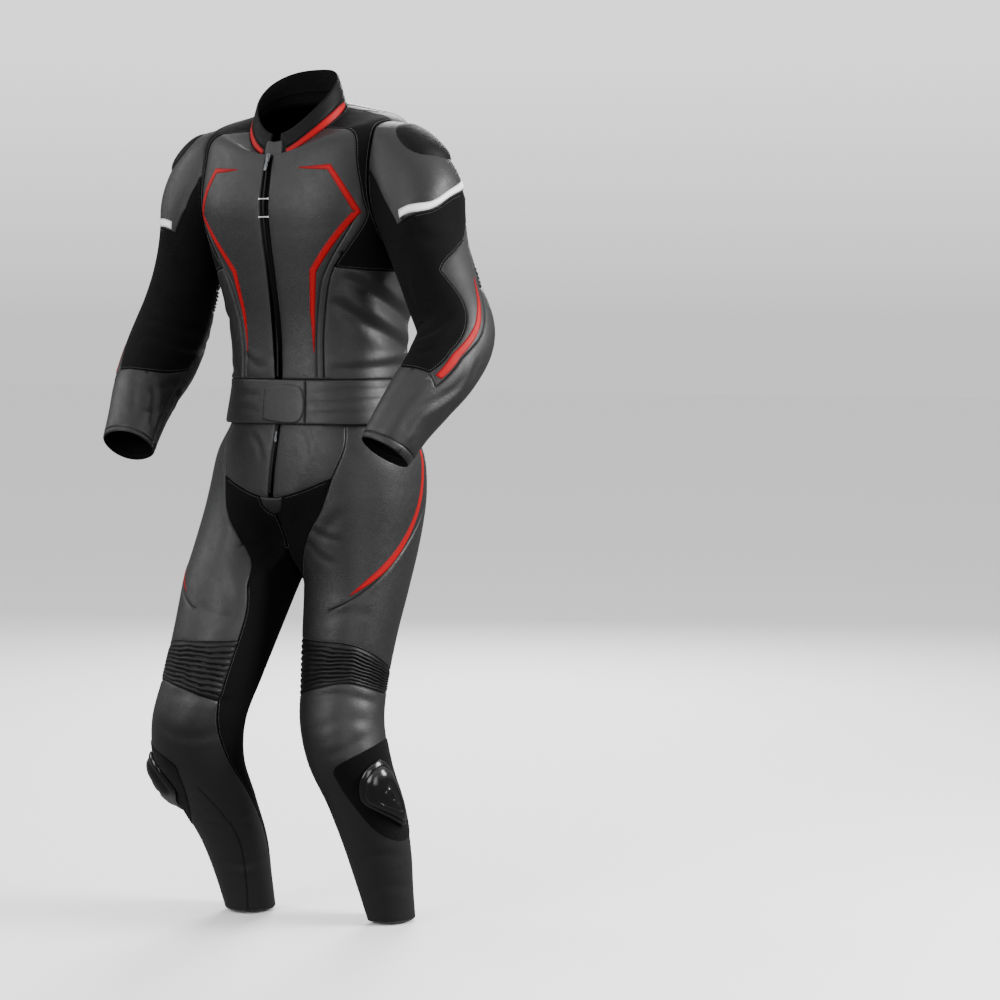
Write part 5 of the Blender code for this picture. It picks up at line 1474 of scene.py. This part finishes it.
class SUIT_OT_zips(bpy.types.Operator):
    """Makes the teeth, sliders and pull tabs of the front zip and the fly"""
    bl_idname = "suit.zips"
    bl_label = "Zips"

    def execute(self, context):
        for name, chart, first, last in (("front_zip_teeth", "torso", BAND + 0.004, 0.575),
                                         ("fly_zip_teeth", "hips", WAIST - 0.01, -0.640)):
            rows = [tooth_row(chart, first, last, side) for side in (1, -1)]
            plain(name, *merged(rows), "teeth", "zip_metal", smooth=False)
        at, across, ahead, up = hardware_frame("torso", SLIDER_AT)
        body = ((-0.0028, -0.0074), (0.0028, -0.0074), (0.0041, -0.0030), (0.0041, 0.0052), (0.0024, 0.0074),
                (-0.0024, 0.0074), (-0.0041, 0.0052), (-0.0041, -0.0030))
        bridge = ((-0.0011, -0.0045), (0.0011, -0.0045), (0.0011, 0.0048), (-0.0011, 0.0048))
        lower = plate(body, 0.0026, (at + ahead * 0.0014, across, ahead, up), 0.0006)
        upper = plate(bridge, 0.0012, (at + ahead * 0.0037, across, ahead, up), 0.0003)
        slider = plain("zip_slider_body", *merged([lower, upper]), "gunmetal", "zip_metal")
        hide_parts("zip_slider")
        for node, (chart, along, length, half) in PULLS.items():
            _, across, ahead, up = hardware_frame(chart, along)
            low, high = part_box(node)
            middle = (np.array(low) + np.array(high)) / 2
            shape = [(-half * 0.5, length / 2), (-half * 0.8, length / 2 - 0.0012),
                     (-half * 0.62, length * 0.12), (-half, -length * 0.12), (-half, -length / 2 + 0.0018),
                     (-half * 0.6, -length / 2)]
            shape += [(-x, y) for x, y in shape[::-1]]
            pull = plate(shape, 0.0012, (middle - ahead * 0.0006, across, ahead, up), 0.0003)
            grip = plate([(x * 0.62, y * 0.42 - length * 0.26) for x, y in shape], 0.0004,
                         (middle + ahead * 0.0005, across, ahead, up), 0.00015)
            piece = plain(f"{node}_tab", *merged([pull, grip]), "gunmetal", "zip_metal", body=node)
            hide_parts(node)
        bars = []
        for along in BAR_TACKS:
            wide = BAR_HALF / stretch("torso", np.array([[0.0, along]]))[0, 0]
            strokes = [[(u, along) for u in np.linspace(-wide, wide, 9)]]
            strokes += [[(u, along + rise) for rise in np.linspace(-0.0024, 0.0024, 4)]
                        for u in (-wide, wide)]
            for stroke in strokes:
                points, normals = surface("torso", np.array(stroke))
                bars.append(bead(points + normals * 0.0011, normals, 0.0009, 0.0007))
        plain("zip_bar_tacks", *merged(bars), "pale thread", "zip_tape")
        return {"FINISHED"}


def stitch_row(chart, path, sizes):
    """Topstitches along a path of places on a form: small rounded bars."""
    length = lengths(np.diff(path, axis=0) * stretch(chart, path)[1:])
    stops = np.arange(sizes.stitch, length[-1] - sizes.stitch, sizes.stitch * STITCH_PACE)
    if len(stops) < 2:
        return [], []
    points, normals = surface(chart, at_stops(path, length, stops))
    ahead = unit(surface(chart, at_stops(path, length, stops + sizes.stitch / 2))[0] - points)
    across = np.cross(normals, ahead)
    height = creases(points, normals) + roll(np.full(len(points), sizes.inset), *SEWN)
    base = points + normals * height[:, None]
    corners = [base + ahead * x * sizes.stitch / 2 + across * y * THREAD_HALF + normals * z
               for x, y, z in STITCH]
    return blocks(corners, STITCH_FACES)


def inset_path(chart, outline, inset):
    """Path that runs inside an outline, at an even distance from it."""
    metric = stretch(chart, outline)
    keep = np.linalg.norm((np.roll(outline, -1, axis=0) - outline) * metric, axis=1) > 1e-5
    outline, metric = outline[keep], metric[keep]
    spread = np.median(metric, axis=0)
    path = outline + mitres(outline, metric, 0.3) * inset / metric
    room = path_gap(path * spread, outline * spread, True)[0]
    return path[room > inset * 0.8]


class SUIT_OT_stitching(bpy.types.Operator):
    """Runs topstitches along the seams"""
    bl_idname = "suit.stitching"
    bl_label = "Stitching"

    def execute(self, context):
        sizes = context.scene.race_suit_sizes
        bare = ("front_zip", "fly_zip", "back_yoke", "elbow_accordion", "knee_accordion", "gusset")
        jacket = [("torso", node, cut) for node, cut in body_cuts().items()]
        arms = [(f"sleeve_{side}", node, cut) for side in ("left", "right")
                for node, cut in sleeve_cuts(side).items()]
        legs = [(f"leg_{side}", node, cut) for side in ("left", "right")
                for node, cut in leg_cuts(leg_lines(side)).items()]
        for name, cuts in (("jacket_stitching", jacket), ("sleeve_stitching", arms), ("leg_stitching", legs)):
            rows = []
            for chart, node, cut in cuts:
                if node in bare:
                    continue
                path = inset_path(chart, cut, sizes.inset)
                gaps = np.linalg.norm(np.diff(path, axis=0) * stretch(chart, path)[1:], axis=1)
                for run in np.split(path, np.nonzero(gaps > 0.02)[0] + 1):
                    if len(run) > 3:
                        rows.append(stitch_row(chart, run, sizes))
                for line in seam_lines(node, chart):
                    metric = stretch(chart, line)
                    side = quarter(unit(np.gradient(line, axis=0) * metric))
                    rows.append(stitch_row(chart, line + side * sizes.inset / metric, sizes))
            plain(name, *merged(rows), "thread", "zip_tape", smooth=False)
        return {"FINISHED"}


class SUIT_OT_stage(bpy.types.Operator):
    """Sets the floor, the lights and the camera"""
    bl_idname = "suit.stage"
    bl_label = "Stage"

    def execute(self, context):
        scene = context.scene
        floor = bpy.data.meshes.new("studio_floor")
        level = CAD_LOW[2] - 0.004
        corners = ((-FLOOR, -FLOOR), (FLOOR, -FLOOR), (FLOOR, FLOOR), (-FLOOR, FLOOR))
        floor.from_pydata([(x, y, level) for x, y in corners], [], [(0, 1, 2, 3)])
        floor.materials.append(material("floor"))
        floor = bpy.data.objects.new("studio_floor", floor)
        scene.collection.objects.link(floor)
        floor.visible_diffuse = floor.visible_glossy = False
        floor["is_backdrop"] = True
        world = bpy.data.worlds.new("pale studio")
        world.use_nodes = True
        tree = world.node_tree
        # A broad soft light overhead, dimmer to the sides, in front of a bright white wall
        at = add(tree, "ShaderNodeTexCoord").outputs["Generated"]
        height = add(tree, "ShaderNodeSeparateXYZ", links={"Vector": at}).outputs["Z"]
        up = add(tree, "ShaderNodeMath", {"operation": "MAXIMUM", 1: 0.0}, {0: height}).outputs[0]
        high = add(tree, "ShaderNodeMath", {"operation": "POWER", 1: 2.0}, {0: up}).outputs[0]
        soft = add(tree, "ShaderNodeMapRange", {"To Min": 0.27, "To Max": 1.7}, {"Value": high})
        wall = add(tree, "ShaderNodeMapRange", {"From Max": 0.10, "To Min": 0.90, "To Max": 1.6},
                   {"Value": up})
        ray = add(tree, "ShaderNodeLightPath").outputs["Is Camera Ray"]
        level = add(tree, "ShaderNodeMix", {"data_type": "FLOAT"},
                    {0: ray, 2: soft.outputs["Result"], 3: wall.outputs["Result"]})
        tree.nodes["Background"].inputs["Color"].default_value = (1.0, 1.0, 1.0, 1.0)
        tree.links.new(level.outputs[0], tree.nodes["Background"].inputs["Strength"])
        scene.world = world
        middle = Vector(MIDDLE)
        for name, azimuth, height, distance, size, power in LAMPS:
            lamp = bpy.data.lights.new(name, "AREA")
            lamp.shape = "RECTANGLE"
            lamp.size, lamp.size_y = size, size * 1.6
            lamp.energy = power
            spot = bpy.data.objects.new(name, lamp)
            turn = math.radians(azimuth)
            spot.location = middle + Vector((distance * math.sin(turn), -distance * math.cos(turn), height))
            spot.rotation_mode = "QUATERNION"
            spot.rotation_quaternion = (middle - spot.location).to_track_quat("-Z", "Y")
            scene.collection.objects.link(spot)
        lens = bpy.data.cameras.new("camera")
        lens.sensor_width = 36.0
        lens.lens = CAMERA_LENS
        lens.clip_end = 100.0
        camera = bpy.data.objects.new("camera", lens)
        turn = math.radians(CAMERA_TURN)
        camera.location = (CAMERA_AWAY * math.sin(turn), -CAMERA_AWAY * math.cos(turn), CAMERA_HIGH)
        camera.rotation_euler = (math.radians(90 + CAMERA_TILT), 0.0, turn - math.radians(CAMERA_YAW))
        scene.collection.objects.link(camera)
        scene.camera = camera
        return {"FINISHED"}


class SUIT_PT_race_suit(bpy.types.Panel):
    """Lists the suit's pieces"""
    bl_label = "Race suit"
    bl_space_type = "VIEW_3D"
    bl_region_type = "UI"
    bl_category = "Race suit"

    def draw(self, context):
        layout = self.layout
        for group in (context.scene.race_suit_sizes, context.scene.race_suit_look):
            for name in group.__annotations__:
                layout.prop(group, name)
        for step in STEPS:
            layout.operator(step.bl_idname)


STEPS = (SUIT_OT_jacket_body, SUIT_OT_collar, SUIT_OT_sleeves, SUIT_OT_trousers, SUIT_OT_inlays,
         SUIT_OT_knee_sliders, SUIT_OT_zips, SUIT_OT_stitching, SUIT_OT_stage)
CLASSES = (SuitSizes, SuitLook, *STEPS, SUIT_PT_race_suit)


def register():
    for item in CLASSES:
        bpy.utils.register_class(item)
    bpy.types.Scene.race_suit_sizes = PointerProperty(type=SuitSizes)
    bpy.types.Scene.race_suit_look = PointerProperty(type=SuitLook)


def unregister():
    del bpy.types.Scene.race_suit_look
    del bpy.types.Scene.race_suit_sizes
    for item in reversed(CLASSES):
        bpy.utils.unregister_class(item)


def main():
    register()
    for step in STEPS:
        group, name = step.bl_idname.split(".")
        if getattr(getattr(bpy.ops, group), name)() != {"FINISHED"}:
            raise RuntimeError(f"{step.bl_label} wasn't finished")


if __name__ == "__main__":
    main()
